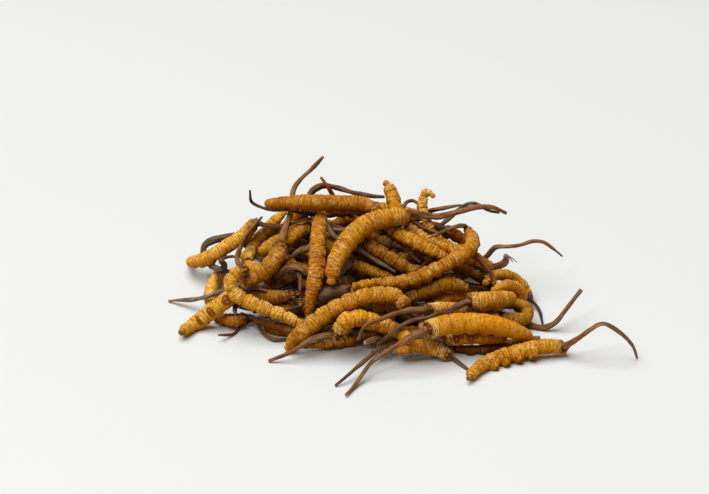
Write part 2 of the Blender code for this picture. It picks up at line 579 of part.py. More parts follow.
def settle():
    """Moves every ring along its own line of sight until no two specimens touch."""
    for one in heap:
        lay_out(one)
    ways = np.vstack([one["ways"] for one in heap])
    wished = np.concatenate([one["wished"] for one in heap])
    floor = np.concatenate([one["floor"] for one in heap])
    starts = np.cumsum([0] + [len(one["radii"]) for one in heap])
    smoothers = [smoother(one) for one in heap]
    spreads = [spreading(len(one["radii"])) for one in heap]
    first, share, owner, radius, order = numbered_samples()
    behind, before = close_pairs(ways, wished, first, share, owner, radius, order)
    need = radius[behind] + radius[before] + CLEARANCE

    def misses(distance):
        """How much each pair lacks along the line of sight."""
        at = ((1 - share)[:, None] * ways[first] * distance[first][:, None]
              + share[:, None] * ways[first + 1] * distance[first + 1][:, None])
        apart = at[behind] - at[before]
        sight = at[before] / np.linalg.norm(at[before], axis=1)[:, None]
        along = np.einsum("ij,ij->i", apart, sight)
        aside = np.einsum("ij,ij->i", apart, apart) - along ** 2
        wanted = np.sqrt(np.clip(need ** 2 - aside, 0, None))
        return np.where(wanted > 0, wanted - along, 0)

    def on_rings(samples, amounts):
        """The largest amount that each ring's samples ask for."""
        asked = np.zeros(len(ways))
        near_start = share[samples] < 0.8
        near_end = share[samples] > 0.2
        np.maximum.at(asked, first[samples][near_start], amounts[near_start])
        np.maximum.at(asked, first[samples][near_end] + 1, amounts[near_end])
        return asked

    def eased(values, ease):
        """Draws every line towards its own smooth run."""
        smooth = [one @ values[starts[k]:starts[k + 1]] for k, one in enumerate(smoothers)]
        return values + ease * (np.concatenate(smooth) - values)

    distance = np.minimum(wished, floor)
    for turn in range(LOOSE_ROUNDS + TIGHT_ROUNDS):
        loose = turn < LOOSE_ROUNDS
        lacking = misses(distance)
        hit = np.nonzero(lacking > 0)[0]
        nearer = on_rings(before[hit], 0.5 * lacking[hit])
        further = on_rings(behind[hit], 0.5 * lacking[hit])
        distance = eased(distance - nearer + further, LOOSE_EASE if loose else TIGHT_EASE)
        if loose:
            distance += WISH_PULL * (wished - distance)
        distance = np.minimum(distance, floor)
    for turn in range(LAST_ROUNDS):
        lacking = misses(distance)
        hit = np.nonzero(lacking > 0)[0]
        if not len(hit):
            break
        nearer = on_rings(before[hit], lacking[hit] + 0.02 * MM)
        for k, spread in enumerate(spreads):
            mine = slice(starts[k], starts[k + 1])
            distance[mine] -= (spread * nearer[mine]).max(axis=1)
    print(f"settled: {len(behind)} pairs, {turn} last rounds, "
          f"worst miss {misses(distance).max() / MM:.3f} mm")
    for k, one in enumerate(heap):
        mine = slice(starts[k], starts[k + 1])
        one["rings"] = EYE + ways[mine] * distance[mine][:, None]


# ---- solids ---------------------------------------------------------------------------------
FLAT_UNDERSIDE = 0.2 * MM  # that the lowest sides are pressed flat on the table


def directions(rings):
    """The way the line runs at each ring."""
    ways = np.gradient(rings, axis=0)
    return ways / np.linalg.norm(ways, axis=1)[:, None]


def sections(ways):
    """Two crosswise directions at each ring, which turn no more than the line itself does."""
    side = np.cross(ways[0], [0.0, 0.0, 1.0])
    across = []
    for way in ways:
        side = side - np.dot(side, way) * way
        side = side / np.linalg.norm(side)
        across.append((side, np.cross(way, side)))
    return across


def make_solid(one, collection):
    """A sphere with a row of vertices for each ring, whose rows are carried to the rings."""
    rings = one["rings"]
    radii = one["radii"]
    ways = directions(rings)
    across = sections(ways)
    mesh = bpy.data.meshes.new(one["name"])
    bm = bmesh.new()
    bmesh.ops.create_uvsphere(bm, u_segments=SIDES, v_segments=len(rings) + 1, radius=1)
    rows = {}
    for vertex in bm.verts:
        rows.setdefault(round(vertex.co.z, 4), []).append(vertex)
    for level, height in enumerate(sorted(rows)):
        for vertex in rows[height]:
            if level == 0:
                vertex.co = rings[0] - ways[0] * END_ROUNDNESS * radii[0]
            elif level == len(rings) + 1:
                vertex.co = rings[-1] + ways[-1] * END_ROUNDNESS * radii[-1]
            else:
                side, over = across[level - 1]
                turn = math.atan2(vertex.co.y, vertex.co.x)
                around = math.cos(turn) * side + math.sin(turn) * over
                vertex.co = rings[level - 1] + radii[level - 1] * around
    bm.to_mesh(mesh)
    bm.free()
    mesh.shade_smooth()
    solid = bpy.data.objects.new(one["name"], mesh)
    collection.objects.link(solid)
    mesh.materials.append(plain_material(one["name"], one["tint"]))
    return solid


def plain_material(name, color):
    material = bpy.data.materials.new(name)
    material.use_nodes = True
    shader = material.node_tree.nodes["Principled BSDF"]
    shader.inputs["Base Color"].default_value = (*color, 1)
    shader.inputs["Roughness"].default_value = 0.75
    shader.inputs["Metallic"].default_value = 0
    return material


def stand_on_table(solids):
    """Centres the heap over its box and sets it on the table, the lowest undersides flat."""
    low = np.min([np.min([v.co[:] for v in s.data.vertices], axis=0) for s in solids], axis=0)
    high = np.max([np.max([v.co[:] for v in s.data.vertices], axis=0) for s in solids], axis=0)
    middle = (low + high) / 2
    for solid in solids:
        for vertex in solid.data.vertices:
            vertex.co.x -= middle[0]
            vertex.co.y -= middle[1]
            vertex.co.z = max(0, vertex.co.z - FLAT_UNDERSIDE)
    print("moved by", [round(-v / MM, 3) for v in middle[:2]], "mm, size",
          [round(v / MM, 2) for v in high - low], "mm, lowest", round(low[2] / MM, 3))


def main():
    for leftover in list(bpy.data.objects):
        bpy.data.objects.remove(leftover, do_unlink=True)
    collection = bpy.data.collections.new("cordyceps_bundle")
    bpy.context.scene.collection.children.link(collection)
    settle()
    solids = []
    for number, one in enumerate(heap):
        shade = 0.8 + 0.4 * ((number * 0.618) % 1)
        one["tint"] = tuple(shade * c for c in OCHRE)
        solids.append(make_solid(one, collection))
    stand_on_table(solids)
    print(len(solids), "specimens,", sum(2 * SIDES * len(one["rings"]) for one in heap), "triangles")


main()
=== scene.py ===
# %% [markdown]
# A heap of dried cordyceps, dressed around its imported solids.
#
# Each specimen of this fungus is a dried larva, golden and finely ringed, with one thin dark
# stalk growing out of its head. The solids give every specimen's place and thickness as a plain
# six-sided tube. This lesson reads the middle line out of each tube and grows a detailed specimen
# along it, with one geometry node tree for all of them.

import json
import math

import bmesh
import bpy
import numpy as np
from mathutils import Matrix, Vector
from mathutils.bvhtree import BVHTree

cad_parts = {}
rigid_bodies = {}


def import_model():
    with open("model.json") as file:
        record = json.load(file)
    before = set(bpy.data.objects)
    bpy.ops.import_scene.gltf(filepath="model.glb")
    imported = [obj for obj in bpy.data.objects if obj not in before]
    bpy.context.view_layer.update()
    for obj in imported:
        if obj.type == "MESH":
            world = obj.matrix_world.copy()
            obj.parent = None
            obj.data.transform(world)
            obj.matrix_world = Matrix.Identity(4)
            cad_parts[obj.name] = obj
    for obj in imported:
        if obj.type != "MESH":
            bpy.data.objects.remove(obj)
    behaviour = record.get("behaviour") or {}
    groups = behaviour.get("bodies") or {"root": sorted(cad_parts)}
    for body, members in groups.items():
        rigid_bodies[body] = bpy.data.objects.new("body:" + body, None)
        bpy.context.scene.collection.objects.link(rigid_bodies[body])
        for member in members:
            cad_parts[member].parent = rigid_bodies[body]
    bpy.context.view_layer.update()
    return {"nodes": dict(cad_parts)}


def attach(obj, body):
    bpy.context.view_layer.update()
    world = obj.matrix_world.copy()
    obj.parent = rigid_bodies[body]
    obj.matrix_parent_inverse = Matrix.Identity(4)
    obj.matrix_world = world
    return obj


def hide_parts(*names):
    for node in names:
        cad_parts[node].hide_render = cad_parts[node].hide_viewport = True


MM = 0.001

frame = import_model()
print("specimens in the frame:", len(frame["nodes"]))

# %% [markdown]
# The camera looks down on the heap from the front. It could be matched to the photograph by eye,
# but the solids were laid out along a known line of sight. Its lens and its place are taken from
# there, so every specimen falls where the photograph has it.

# %% The camera
LENS = 85  # millimetres, on a film 36 wide
FILM_WIDTH = 36
ELEVATION = math.radians(27)
EYE_DISTANCE = 561 * MM
LOOK_AT_HEIGHT = 19.2 * MM
HEAP_MOVED = Vector((-13.676, 7.135, -0.2)) * MM  # from the laid-out place to the centred one
NEAREST_SEEN = 10 * MM

camera_data = bpy.data.cameras.new("camera")
camera_data.lens = LENS
camera_data.sensor_width = FILM_WIDTH
camera_data.clip_start = NEAREST_SEEN
camera = bpy.data.objects.new("camera", camera_data)
camera.rotation_euler = (math.pi / 2 - ELEVATION, 0, 0)
eye = Vector((0, -EYE_DISTANCE * math.cos(ELEVATION),
              LOOK_AT_HEIGHT + EYE_DISTANCE * math.sin(ELEVATION)))
camera.location = eye + HEAP_MOVED
bpy.context.scene.collection.objects.link(camera)
bpy.context.scene.camera = camera
print("the camera stands at", [round(c, 3) for c in camera.location])

# %% [markdown]
# The heap lies on a plain, nearly white surface, which ends nowhere in sight. The photograph's
# light is one large soft one, to the left and a little in front of the heap: the shadows are wide,
# and the thin ones fall to the right. A window of many small lamps would give it too, but one
# square lamp is enough. A small lamp at the front left draws the fine edges of the folds. A weak
# warm sky stands for the light that golden specimens throw on each other, so the lamp is a
# little blue to keep the floor white.

# %% Floor and light
FLOOR_WHITE = (0.675, 0.681, 0.677)
FLOOR_ROUGHNESS = 0.6
FLOOR_SIZE = 12.0
LAMPS = {
    # name: (place, size, power, colour)
    "main_lamp": ((-0.78, -0.20, 2.80), 3.0, 132.5, (0.898, 0.965, 1.0)),
    "front_lamp": ((-0.58, -0.77, 1.16), 0.15, 1.6, (1.0, 1.0, 1.0)),
}
LIT_PLACE = Vector((0, 0, 20)) * MM
SKY_COLOR = (1.0, 0.72, 0.46, 1.0)
SKY_STRENGTH = 0.27


def new_material(name):
    """A material, its node tree and the shader in it."""
    material = bpy.data.materials.new(name)
    material.use_nodes = True
    return material, material.node_tree, material.node_tree.nodes["Principled BSDF"]


def plain_material(name, color, roughness):
    """A material of one colour."""
    material, _, shader = new_material(name)
    shader.inputs["Base Color"].default_value = (*color, 1)
    shader.inputs["Roughness"].default_value = roughness
    return material


def add_lamp(name, place, size, power, color):
    """A square lamp that faces the heap."""
    lamp = bpy.data.lights.new(name, "AREA")
    lamp.size = size
    lamp.energy = power
    lamp.color = color
    holder = bpy.data.objects.new(name, lamp)
    holder.location = place
    holder.rotation_euler = (LIT_PLACE - Vector(place)).to_track_quat("-Z", "Y").to_euler()
    bpy.context.scene.collection.objects.link(holder)


bpy.ops.mesh.primitive_plane_add(size=FLOOR_SIZE)
floor = bpy.context.object
floor.name = "floor"
floor.data.materials.append(plain_material("white_surface", FLOOR_WHITE, FLOOR_ROUGHNESS))

for name, facts in LAMPS.items():
    add_lamp(name, *facts)

sky = bpy.data.worlds.new("pale_sky")
sky.use_nodes = True
background = sky.node_tree.nodes["Background"]
background.inputs["Color"].default_value = SKY_COLOR
background.inputs["Strength"].default_value = SKY_STRENGTH
bpy.context.scene.world = sky
bpy.context.scene.view_settings.view_transform = "Standard"
print("lamps:", len(LAMPS))

# %% [markdown]
# A packed specimen is a tube of six-sided rings that close in one point at each end. Its middle
# line could be typed in again, but then it would be kept in two places. Walking over the mesh
# from one such point meets the rings in order, one row of six vertices after the other. The
# thicker half is the larva's, and it comes first.

# %% Read the middle lines
SIDES = 6
SAME_PLACE = 0.01 * MM  # vertices nearer than this are one
TAIL_RINGS = 2  # the first rings, which narrow too, but to the tail


def rows_from(start):
    """The vertices of a mesh in rows, each one step further from the start."""
    met = {start}
    rows = [[start]]
    while rows[-1]:
        row = []
        for vertex in rows[-1]:
            for edge in vertex.link_edges:
                other = edge.other_vert(vertex)
                if other not in met:
                    met.add(other)
                    row.append(other)
        rows.append(row)
    return rows[:-1]


def read_rings(node):
    """The middles and the radii of a solid's rings, with both end points, from the tail on."""
    solid = bmesh.new()
    solid.from_mesh(node.data)
    bmesh.ops.remove_doubles(solid, verts=solid.verts, dist=SAME_PLACE)
    for start in solid.verts:
        rows = rows_from(start)
        if len(rows[-1]) == 1 and all(len(row) == SIDES for row in rows[1:-1]):
            break
    places = [np.array([vertex.co[:] for vertex in row]) for row in rows]
    solid.free()
    middles = np.array([place.mean(axis=0) for place in places])
    radii = np.array([np.linalg.norm(place - middle, axis=1).mean()
                      for place, middle in zip(places, middles)])
    half = len(radii) // 2
    if radii[:half].mean() < radii[half:].mean():
        return middles[::-1], radii[::-1]
    return middles, radii


def head_ring(middles, radii):
    """The last ring of the body: there the tube becomes thin most suddenly."""
    gaps = np.linalg.norm(np.diff(middles, axis=0), axis=1)
    drops = (radii[:-1] - radii[1:]) / gaps
    return TAIL_RINGS + int(np.argmax(drops[TAIL_RINGS:-1]))


lines = {}
for name in sorted(frame["nodes"]):
    middles, radii = read_rings(frame["nodes"][name])
    lines[name] = (middles, radii, head_ring(middles, radii))
print("rings of a specimen:", min(len(m) for m, _, _ in lines.values()), "to",
      max(len(m) for m, _, _ in lines.values()))

# %% [markdown]
# Every specimen is itself: how closely its rings lie, how rough it is, how pale its neck, what
# colour its skin and its stalk have dried to, and which way its belly with the legs is turned.
# Chance could deal these out, but the photograph shows them, so one row for each keeps them in
# sight together.

# %% What each specimen is like
VIEWER = (0.0, -0.89, 0.45)
DOWN = (0.0, 0.0, -1.0)
AWAY = (0.0, 0.8, -0.6)
LOW_FRONT = (0.0, -0.75, -0.66)
RIGHT = (1.0, 0.0, -0.2)

LOOKS = {
    # number: (skin, stalk, belly, ring spacing in mm, roughness, pale neck)
    1: ("russet", "brown", DOWN, 0.85, 0.12, 0.0),
    2: ("golden", "brown", (0.6, 0.3, -0.7), 1.10, 0.12, 0.2),
    3: ("russet", "olive", RIGHT, 1.25, 0.14, 0.0),
    4: ("golden", "brown", AWAY, 1.30, 0.30, 0.0),
    5: ("straw", "brown", AWAY, 1.20, 0.35, 0.0),
    6: ("golden", "umber", DOWN, 1.0, 0.15, 0.3),
    7: ("golden", "red", DOWN, 1.0, 0.15, 0.3),
    8: ("ochre", "black", DOWN, 1.0, 0.15, 0.3),
    9: ("ochre", "brown", DOWN, 1.0, 0.15, 0.3),
    10: ("ochre", "olive", DOWN, 1.0, 0.15, 0.3),
    11: ("straw", "umber", DOWN, 0.95, 0.15, 0.1),
    12: ("ochre", "olive", DOWN, 1.0, 0.15, 0.3),
    13: ("straw", "brown", DOWN, 0.95, 0.18, 0.1),
    14: ("golden", "umber", DOWN, 1.0, 0.15, 0.2),
    15: ("ochre", "tan", DOWN, 0.85, 0.27, 0.0),
    16: ("golden", "brown", DOWN, 0.9, 0.15, 0.0),
    17: ("golden", "umber", DOWN, 1.0, 0.15, 0.2),
    18: ("russet", "grey", DOWN, 1.0, 0.25, 0.0),
    19: ("straw", "brown", AWAY, 1.0, 0.34, 0.1),
    20: ("straw", "olive", AWAY, 1.0, 0.20, 0.0),
    21: ("straw", "brown", VIEWER, 1.1, 0.15, 0.0),
    22: ("russet", "umber", AWAY, 1.0, 0.22, 0.0),
    23: ("russet", "red", AWAY, 0.9, 0.12, 0.1),
    24: ("russet", "grey", DOWN, 1.0, 0.2, 0.0),
    25: ("golden", "umber", LOW_FRONT, 1.0, 0.2, 0.2),
    26: ("ochre", "umber", DOWN, 1.0, 0.2, 0.1),
    27: ("golden", "grey", DOWN, 0.9, 0.15, 0.1),
    28: ("russet", "umber", DOWN, 0.9, 0.32, 0.0),
    29: ("golden", "brown", LOW_FRONT, 1.0, 0.2, 0.0),
    30: ("golden", "red", DOWN, 1.1, 0.35, 0.3),
    31: ("ochre", "tan", DOWN, 1.0, 0.36, 0.0),
    32: ("straw", "stump", DOWN, 1.1, 0.35, 0.6),
    33: ("golden", "umber", DOWN, 1.0, 0.15, 0.1),
    34: ("ochre", "umber", DOWN, 1.0, 0.2, 0.1),
    35: ("russet", "umber", DOWN, 1.0, 0.2, 0.1),
    36: ("ochre", "tan", DOWN, 1.0, 0.2, 0.2),
    37: ("dark", "umber", DOWN, 0.8, 0.15, 0.0),
    38: ("russet", "red", DOWN, 1.0, 0.2, 0.0),
    39: ("ochre", "peeled", DOWN, 1.0, 0.2, 0.1),
    40: ("golden", "black", DOWN, 0.9, 0.15, 0.1),
    41: ("golden", "umber", DOWN, 0.9, 0.15, 0.1),
    42: ("golden", "umber", DOWN, 0.8, 0.15, 0.75),
    43: ("golden", "umber", DOWN, 0.9, 0.15, 0.1),
    44: ("golden", "broken", DOWN, 1.0, 0.15, 0.1),
    45: ("golden", "brown", DOWN, 0.85, 0.15, 1.0),
    46: ("golden", "umber", AWAY, 0.95, 0.30, 0.2),
    47: ("golden", "brown", AWAY, 1.0, 0.28, 0.4),
    48: ("ochre", "umber", AWAY, 0.9, 0.18, 0.8),
    49: ("amber", "brown", DOWN, 0.62, 0.10, 1.0),
    50: ("ochre", "umber", (0.0, -0.75, 0.66), 1.0, 0.18, 0.9),
    51: ("golden", "brown", (0.05, -0.62, -0.78), 1.05, 0.20, 0.5),
    52: ("dark", "umber", DOWN, 0.9, 0.2, 0.0),
    53: ("ochre", "grey", DOWN, 1.0, 0.2, 0.2),
    54: ("ochre", "cut", DOWN, 1.0, 0.2, 0.2),
    55: ("golden", "brown", DOWN, 0.95, 0.15, 0.6),
    56: ("ochre", "umber", DOWN, 1.0, 0.2, 0.4),
    57: ("golden", "red", DOWN, 0.9, 0.15, 0.7),
    58: ("ochre", "umber", DOWN, 1.0, 0.2, 0.3),
    59: ("golden", "umber", DOWN, 1.0, 0.2, 0.3),
    60: ("ochre", "brown", DOWN, 1.0, 0.2, 0.3),
}
# what a skin's colour is multiplied by, where it isn't 1: own tone and painted light and shade
TONES_AND_PAINTED_LIGHT = {1: 0.85, 2: 0.88, 3: 0.90, 4: 0.87, 11: 1.05, 13: 1.05, 14: 0.77, 15: 0.86, 18: 0.68,
          20: 1.05, 22: 1.1, 25: 1.1, 27: 0.63, 28: 0.57, 29: 0.85, 31: 0.87, 33: 0.50, 34: 1.2,
          35: 1.15, 40: 0.90, 42: 0.95, 43: 0.67, 46: 0.80, 48: 1.2, 49: 0.92, 50: 1.2, 51: 0.90}
LIFTED = (13, 20, 25, 34, 35, 48, 50)  # lie low, yet get less painted shade and stay light
HEAD_RINGS = {32: 5}  # the head's ring, where the stalk is as thick as the body
print("specimens described:", len(LOOKS), "and darker or lighter than their kind:", len(TONES_AND_PAINTED_LIGHT))

# %% [markdown]
# The rings lie about 4 mm apart, too far for wrinkles. A smooth curve through their middles, with
# a point every fifth of a millimetre on the body, has room for them. Each of its points carries
# what the tree needs there: the radius, how many folds and segments have passed, and how much of
# it is neck, head or stalk. Numbers that are worked out here, once for a point, keep the tree
# small.

# %% Sizes of the fine line
BODY_STEP = 0.21 * MM
STALK_STEP = 0.5 * MM
EASING = 1.1 * MM  # over which the line's corners are rounded
RADIUS_EASING = 0.5 * MM
ROUND_OF_CORNER = 0.965  # the round section's radius over that of the six corners
LEAST_RADIUS = 0.02 * MM
TAIL_ROUND = 0.75  # length of the tail's round end, of the radius that far from its tip:
TAIL_MEASURED = 0.8 * MM
TIP_ROUND = 0.8  # length of the stalk's round end, of its radius
TAPER = 0.30  # share of its width that a stalk loses
TAPER_LENGTH = 7 * MM
JOINT_LENGTH = 1.5 * MM  # over which the body's radius becomes the stalk's
FINE_BEYOND = 2 * MM  # how far onto the stalk the points stay as close as on the body
BORDER = (0.1, 0.7)  # millimetres past the head's ring between which skin becomes stalk
PITCH = 4.1  # millimetres from one segment's groove to the next
FIRST_GROOVE = 1.9  # millimetres from the tail's tip
FRONT_SEGMENTS = 2  # segments before the first pair of prolegs
NECK_LENGTH = 5.5 * MM
NECK_FADE = 0.6  # share of the neck that keeps its full look
NECK_SPREAD = 0.8  # how far apart the neck's folds lie, times the body's
HEAD_LENGTH = 1.4  # millimetres
HEAD = 0.8  # how much of a head is left
TIP_LENGTH = 3  # millimetres of the stalk with the tip's colour
TAIL_BROWN = 0.25  # how brown a tail's tip is
TAIL_BROWN_LENGTH = 1.1 * MM
LIFT = 0.25  # added to the openness of a specimen that stays light, lessening its painted shade
print("points on a centimetre of body:", round(10 * MM / BODY_STEP))

# %% [markdown]
# The photograph shows where a specimen differs from the common sizes: a slim tail, a knob at its
# end, a stalk that was cut, a head that crumbled. In the table above these would take a dozen
# more columns, nearly all empty. So each kind is a short list of its own, in which a number of a
# specimen stands before its value, and the others keep the common size.

# %% What only some specimens have
PITCHES = {3: 3.7, 19: 4.8, 21: 6.2, 46: 4.6, 49: 4.7, 51: 4.75}
LEGLESS = {21: 1}  # segments before the first prolegs
HEADS = {1: 0.1, 2: 0.2, 3: 0.3, 8: 0.4, 47: 1.2, 49: 1.0, 51: 1.0}
NECK_SPREADS = {49: 1.5}
# widths, times the solid's, because a tube that touches its neighbours can't always be as wide or
# as thin as the photograph has it
WIDER_STALKS = {2: 0.78, 12: 1.25, 28: 1.9, 36: 0.8, 39: 1.5, 42: 0.9, 47: 0.7, 49: 0.78, 51: 0.85,
                54: 1.45}
WIDER_BODIES = {14: 1.22, 15: 1.12, 18: 1.12, 19: 0.88, 23: 1.25, 24: 1.15, 46: 0.88}
STOUT_STALKS = {32: 2.3}  # millimetres that the stalk's radius has at least
# the end's width, of the solid's, and its length in millimetres
SLIM_TAILS = {3: (0.78, 12.0), 5: (0.80, 6.0), 11: (0.62, 9.0)}
SLIM_NECKS = {1: (0.80, 6.0), 31: (0.60, 12.0)}
# the last segment's width where it is a narrow knob, of the body's, and its length in millimetres
KNOBS = {2: (0.70, 2.4), 4: (0.70, 2.0), 21: (0.66, 2.3), 51: (0.58, 2.4)}
KNOB_EDGE = 0.8  # millimetres
BROWN_TAILS = {4: 0.7, 14: 0.6, 21: 1.0, 51: 0.9}
CRUMBLY = {15: 5.0, 24: 5.0, 47: 2.6}  # millimetres before the head that crumbled too
CRUMBLY_TAILS = {18: 5.0}  # millimetres of the tail that crumbled
CUT_ENDS = {24: 0.3, 28: 1.0, 32: 0.25, 54: 0.3}  # cut stalks, and how deep the end is hollow
TIPS = {32: 1.0, 44: 5.0, 51: 11.0, 54: 0.8}  # millimetres with the tip's colour
BLUNT = (12, 39, 44, 47)  # specimens whose stalk doesn't taper, besides the cut ones
# a cut end's last rings: a share of the radius, and millimetres that they are pulled back
CUP = ((1.0, 0.0), (1.0, 0.0), (0.97, 0.0), (0.86, 0.1), (0.78, 0.4), (0.72, 1.0), (0.02, 1.3))
NUDGES = {
    # number: {ring: millimetres to the right, back and up}
    5: {0: (0.3, 0.0, -0.6), 1: (0.3, 0.0, 0.5), 2: (0.8, 0.0, 1.3), 3: (0.0, 0.0, 0.3)},
    31: {13: (-0.6, 0.0, 0.0), 14: (-1.5, 0.0, 0.2), 15: (-2.2, 0.0, 0.3), 16: (-2.4, -0.3, 0.3),
         17: (-2.0, -0.3, 0.2), 18: (-0.8, 0.0, 0.0)},
    32: {7: (-0.5, 0.0, 0.0), 8: (-1.1, 0.0, 0.0), 9: (-1.1, 0.0, 0.0)},
}
print("cut stalks:", len(CUT_ENDS), "and tails with a knob:", len(KNOBS))

# %% [markdown]
# A line through the rings' middles has a corner at each ring. A cubic through each pair of
# neighbours takes the corners out, and a running mean then eases what is left of them. A curve
# object could be smooth too, but these points lie evenly, and each can carry values of its own.

# %% A smooth line through the rings
def length_along(points):
    """How far each point lies from the first one, along the line through all of them."""
    return np.concatenate([[0], np.cumsum(np.linalg.norm(np.diff(points, axis=0), axis=1))])


def through(points, marks):
    """A smooth curve's points through the given ones, at some marks of its length."""
    run = length_along(points)
    slopes = np.gradient(points, run, axis=0)
    k = np.clip(np.searchsorted(run, marks, side="right") - 1, 0, len(run) - 2)
    gap = (run[k + 1] - run[k])[:, None]
    t = ((marks - run[k])[:, None]) / gap
    return ((2 * t ** 3 - 3 * t ** 2 + 1) * points[k] + (t ** 3 - 2 * t ** 2 + t) * gap * slopes[k]
            + (3 * t ** 2 - 2 * t ** 3) * points[k + 1] + (t ** 3 - t ** 2) * gap * slopes[k + 1])


def eased(values, step, width):
    """Values smoothed along the line, with both ends kept where they are."""
    reach = max(1, round(2.5 * width / step))
    weights = np.exp(-0.5 * (np.arange(-reach, reach + 1) * step / width) ** 2)
    weights /= weights.sum()
    before = 2 * values[0] - values[reach:0:-1]
    after = 2 * values[-1] - values[-2:-reach - 2:-1]
    held = np.concatenate([before, values, after])
    return np.stack([np.convolve(held[:, k], weights, "valid") for k in range(values.shape[1])], 1)


def smooth_step(low, high, values):
    """Rises smoothly from 0 at low to 1 at high."""
    share = np.clip((values - low) / (high - low), 0, 1)
    return share * share * (3 - 2 * share)


# %% [markdown]
# A pattern on a bent body has to know where the belly is. A direction that is worked out anew at
# each point jumps where the body bends back. So it is chosen once, a third of the way from the
# tail, and carried from point to point both ways. The width comes from the rings and the lists.

# %% The belly and the width along the line
def carried(ways, direction):
    """A crosswise direction at each point, which turns no more than the line does."""
    middle = len(ways) // 3
    sides = np.zeros_like(ways)
    for order in (range(middle, len(ways)), range(middle, -1, -1)):
        side = np.array(direction, float)
        for k in order:
            side = side - np.dot(side, ways[k]) * ways[k]
            side /= np.linalg.norm(side)
            sides[k] = side
    return sides


def nudged(middles, number):
    """The middles with a few of them moved by a millimetre or two."""
    moved = middles.copy()
    for ring, way in NUDGES.get(number, {}).items():
        moved[ring] += np.array(way) * MM
    return moved


def width_along(run, radii, middles_run, neck_end, roughness, number):
    """The radius at each point, with the slim ends, the stout stalks and the knobs."""
    step = run[1]
    radius = np.interp(run, middles_run[1:-1], radii[1:-1] * ROUND_OF_CORNER)
    radius = eased(radius[:, None], step, RADIUS_EASING)[:, 0]
    relief = 0.5 * roughness * MM  # by which lumps and folds stand out of the round section
    body = radius * WIDER_BODIES.get(number, 1.0) - relief
    slim, long = SLIM_TAILS.get(number, (1, 1))
    body = body * (slim + (1 - slim) * smooth_step(0, long * MM, run))
    slim, long = SLIM_NECKS.get(number, (1, 1))
    body = body * (1 - (1 - slim) * smooth_step(neck_end - long * MM, neck_end, run))
    stem = np.maximum(radius * WIDER_STALKS.get(number, 1.0), STOUT_STALKS.get(number, 0) * MM)
    radius = body + (stem - body) * smooth_step(neck_end, neck_end + JOINT_LENGTH, run)
    narrow, long = KNOBS.get(number, (1, 1))
    return radius * (narrow + (1 - narrow) * smooth_step(long * MM, (long + KNOB_EDGE) * MM, run))


def rounded(distance, reach):
    """The share of its radius that a round end has, at a distance from its tip."""
    near = np.clip(distance / reach, 0, 1)
    return np.sqrt(np.clip(1 - (1 - near) ** 2, 0, 1))


# %% [markdown]
# Here all values of a specimen come together. Folds and segments are counted along the body, and
# the folds lie closer on the neck. Two of the values are shares that fade in or out: how much a
# point belongs to the neck, and how much to the stalk. The stalk's wrinkles run lengthwise, so
# fewer points do for it.

# %% The fine line of each specimen
def fine_line(middles, radii, head, looks, number):
    """What the tree needs at each point of a specimen's line."""
    _, _, belly, spacing, roughness, _ = looks
    middles = nudged(middles, number)
    middles_run = length_along(middles)
    length, neck_end = middles_run[-1], middles_run[head]
    run = np.linspace(0, length, max(8, round(length / BODY_STEP)))
    step = run[1]
    smooth = eased(through(middles, run), step, EASING)
    radius = width_along(run, radii, middles_run, neck_end, roughness, number)
    ways = np.gradient(smooth, axis=0)
    ways /= np.linalg.norm(ways, axis=1)[:, None]
    bellies = carried(ways, belly)

    rounding = rounded(run, TAIL_ROUND * radius[round(TAIL_MEASURED / step)])
    if number not in CUT_ENDS and number not in BLUNT:
        radius = radius * (1 - TAPER * smooth_step(length - TAPER_LENGTH, length, run))
    rounding *= rounded(length - run, TIP_ROUND * radius[-1])
    half = np.maximum(radius * rounding, LEAST_RADIUS)
    cup = np.zeros_like(run)
    if number in CUT_ENDS:
        shares, depths = np.array(CUP).T
        half[-len(CUP):] = radius[-1] * shares
        cup[-len(CUP):] = depths * CUT_ENDS[number]

    neck = smooth_step(neck_end - NECK_LENGTH, neck_end - NECK_FADE * NECK_LENGTH, run)
    on_stalk = smooth_step(*(neck_end + edge * MM for edge in BORDER), run)
    crumbling = np.where(run < neck_end, CRUMBLY.get(number, HEAD_LENGTH), HEAD_LENGTH) * MM
    on_head = HEADS.get(number, HEAD) * np.exp(-((run - neck_end) / crumbling) ** 2)
    if number in CRUMBLY_TAILS:
        on_head = on_head + np.exp(-(run / (CRUMBLY_TAILS[number] * MM)) ** 2)
    close = spacing * (1 + (NECK_SPREADS.get(number, NECK_SPREAD) - 1) * neck)
    folds = np.concatenate([[0], np.cumsum(step / MM / close[1:])])
    pitch = PITCHES.get(number, PITCH)
    front = FRONT_SEGMENTS - LEGLESS.get(number, FRONT_SEGMENTS)
    values = {
        # the middle, the radius, how far it is pulled back, and the way that the line runs
        "place": smooth, "half": half, "cup": cup, "way": ways,
        # what lies behind the point, in millimetres, folds and segments
        "run": run / MM, "folds": folds,
        "segments": (run / MM - FIRST_GROOVE) / pitch + front,
        "pitch": np.full(len(run), pitch),
        # one value for the whole specimen
        "shade": np.full(len(run), TONES_AND_PAINTED_LIGHT.get(number, 1.0)),
        "lift": np.full(len(run), LIFT if number in LIFTED else 0.0),
        # how much the point belongs to each part
        "neck": neck * (1 - on_stalk), "head": on_head, "stalk": on_stalk,
        "tail": BROWN_TAILS.get(number, TAIL_BROWN) * np.exp(-run / TAIL_BROWN_LENGTH),
        "tip": smooth_step(length - TIPS.get(number, TIP_LENGTH) * MM, length, run),
        # two directions across the line
        "belly": bellies, "side": np.cross(ways, bellies),
    }
    coarse = max(1, round(STALK_STEP / step))
    fine = run <= neck_end + FINE_BEYOND
    kept = np.unique(np.concatenate([np.nonzero(fine)[0], np.nonzero(~fine)[0][::coarse][:-1],
                                     np.arange(len(run) - len(CUP), len(run))]))
    return {key: value[kept] for key, value in values.items()}


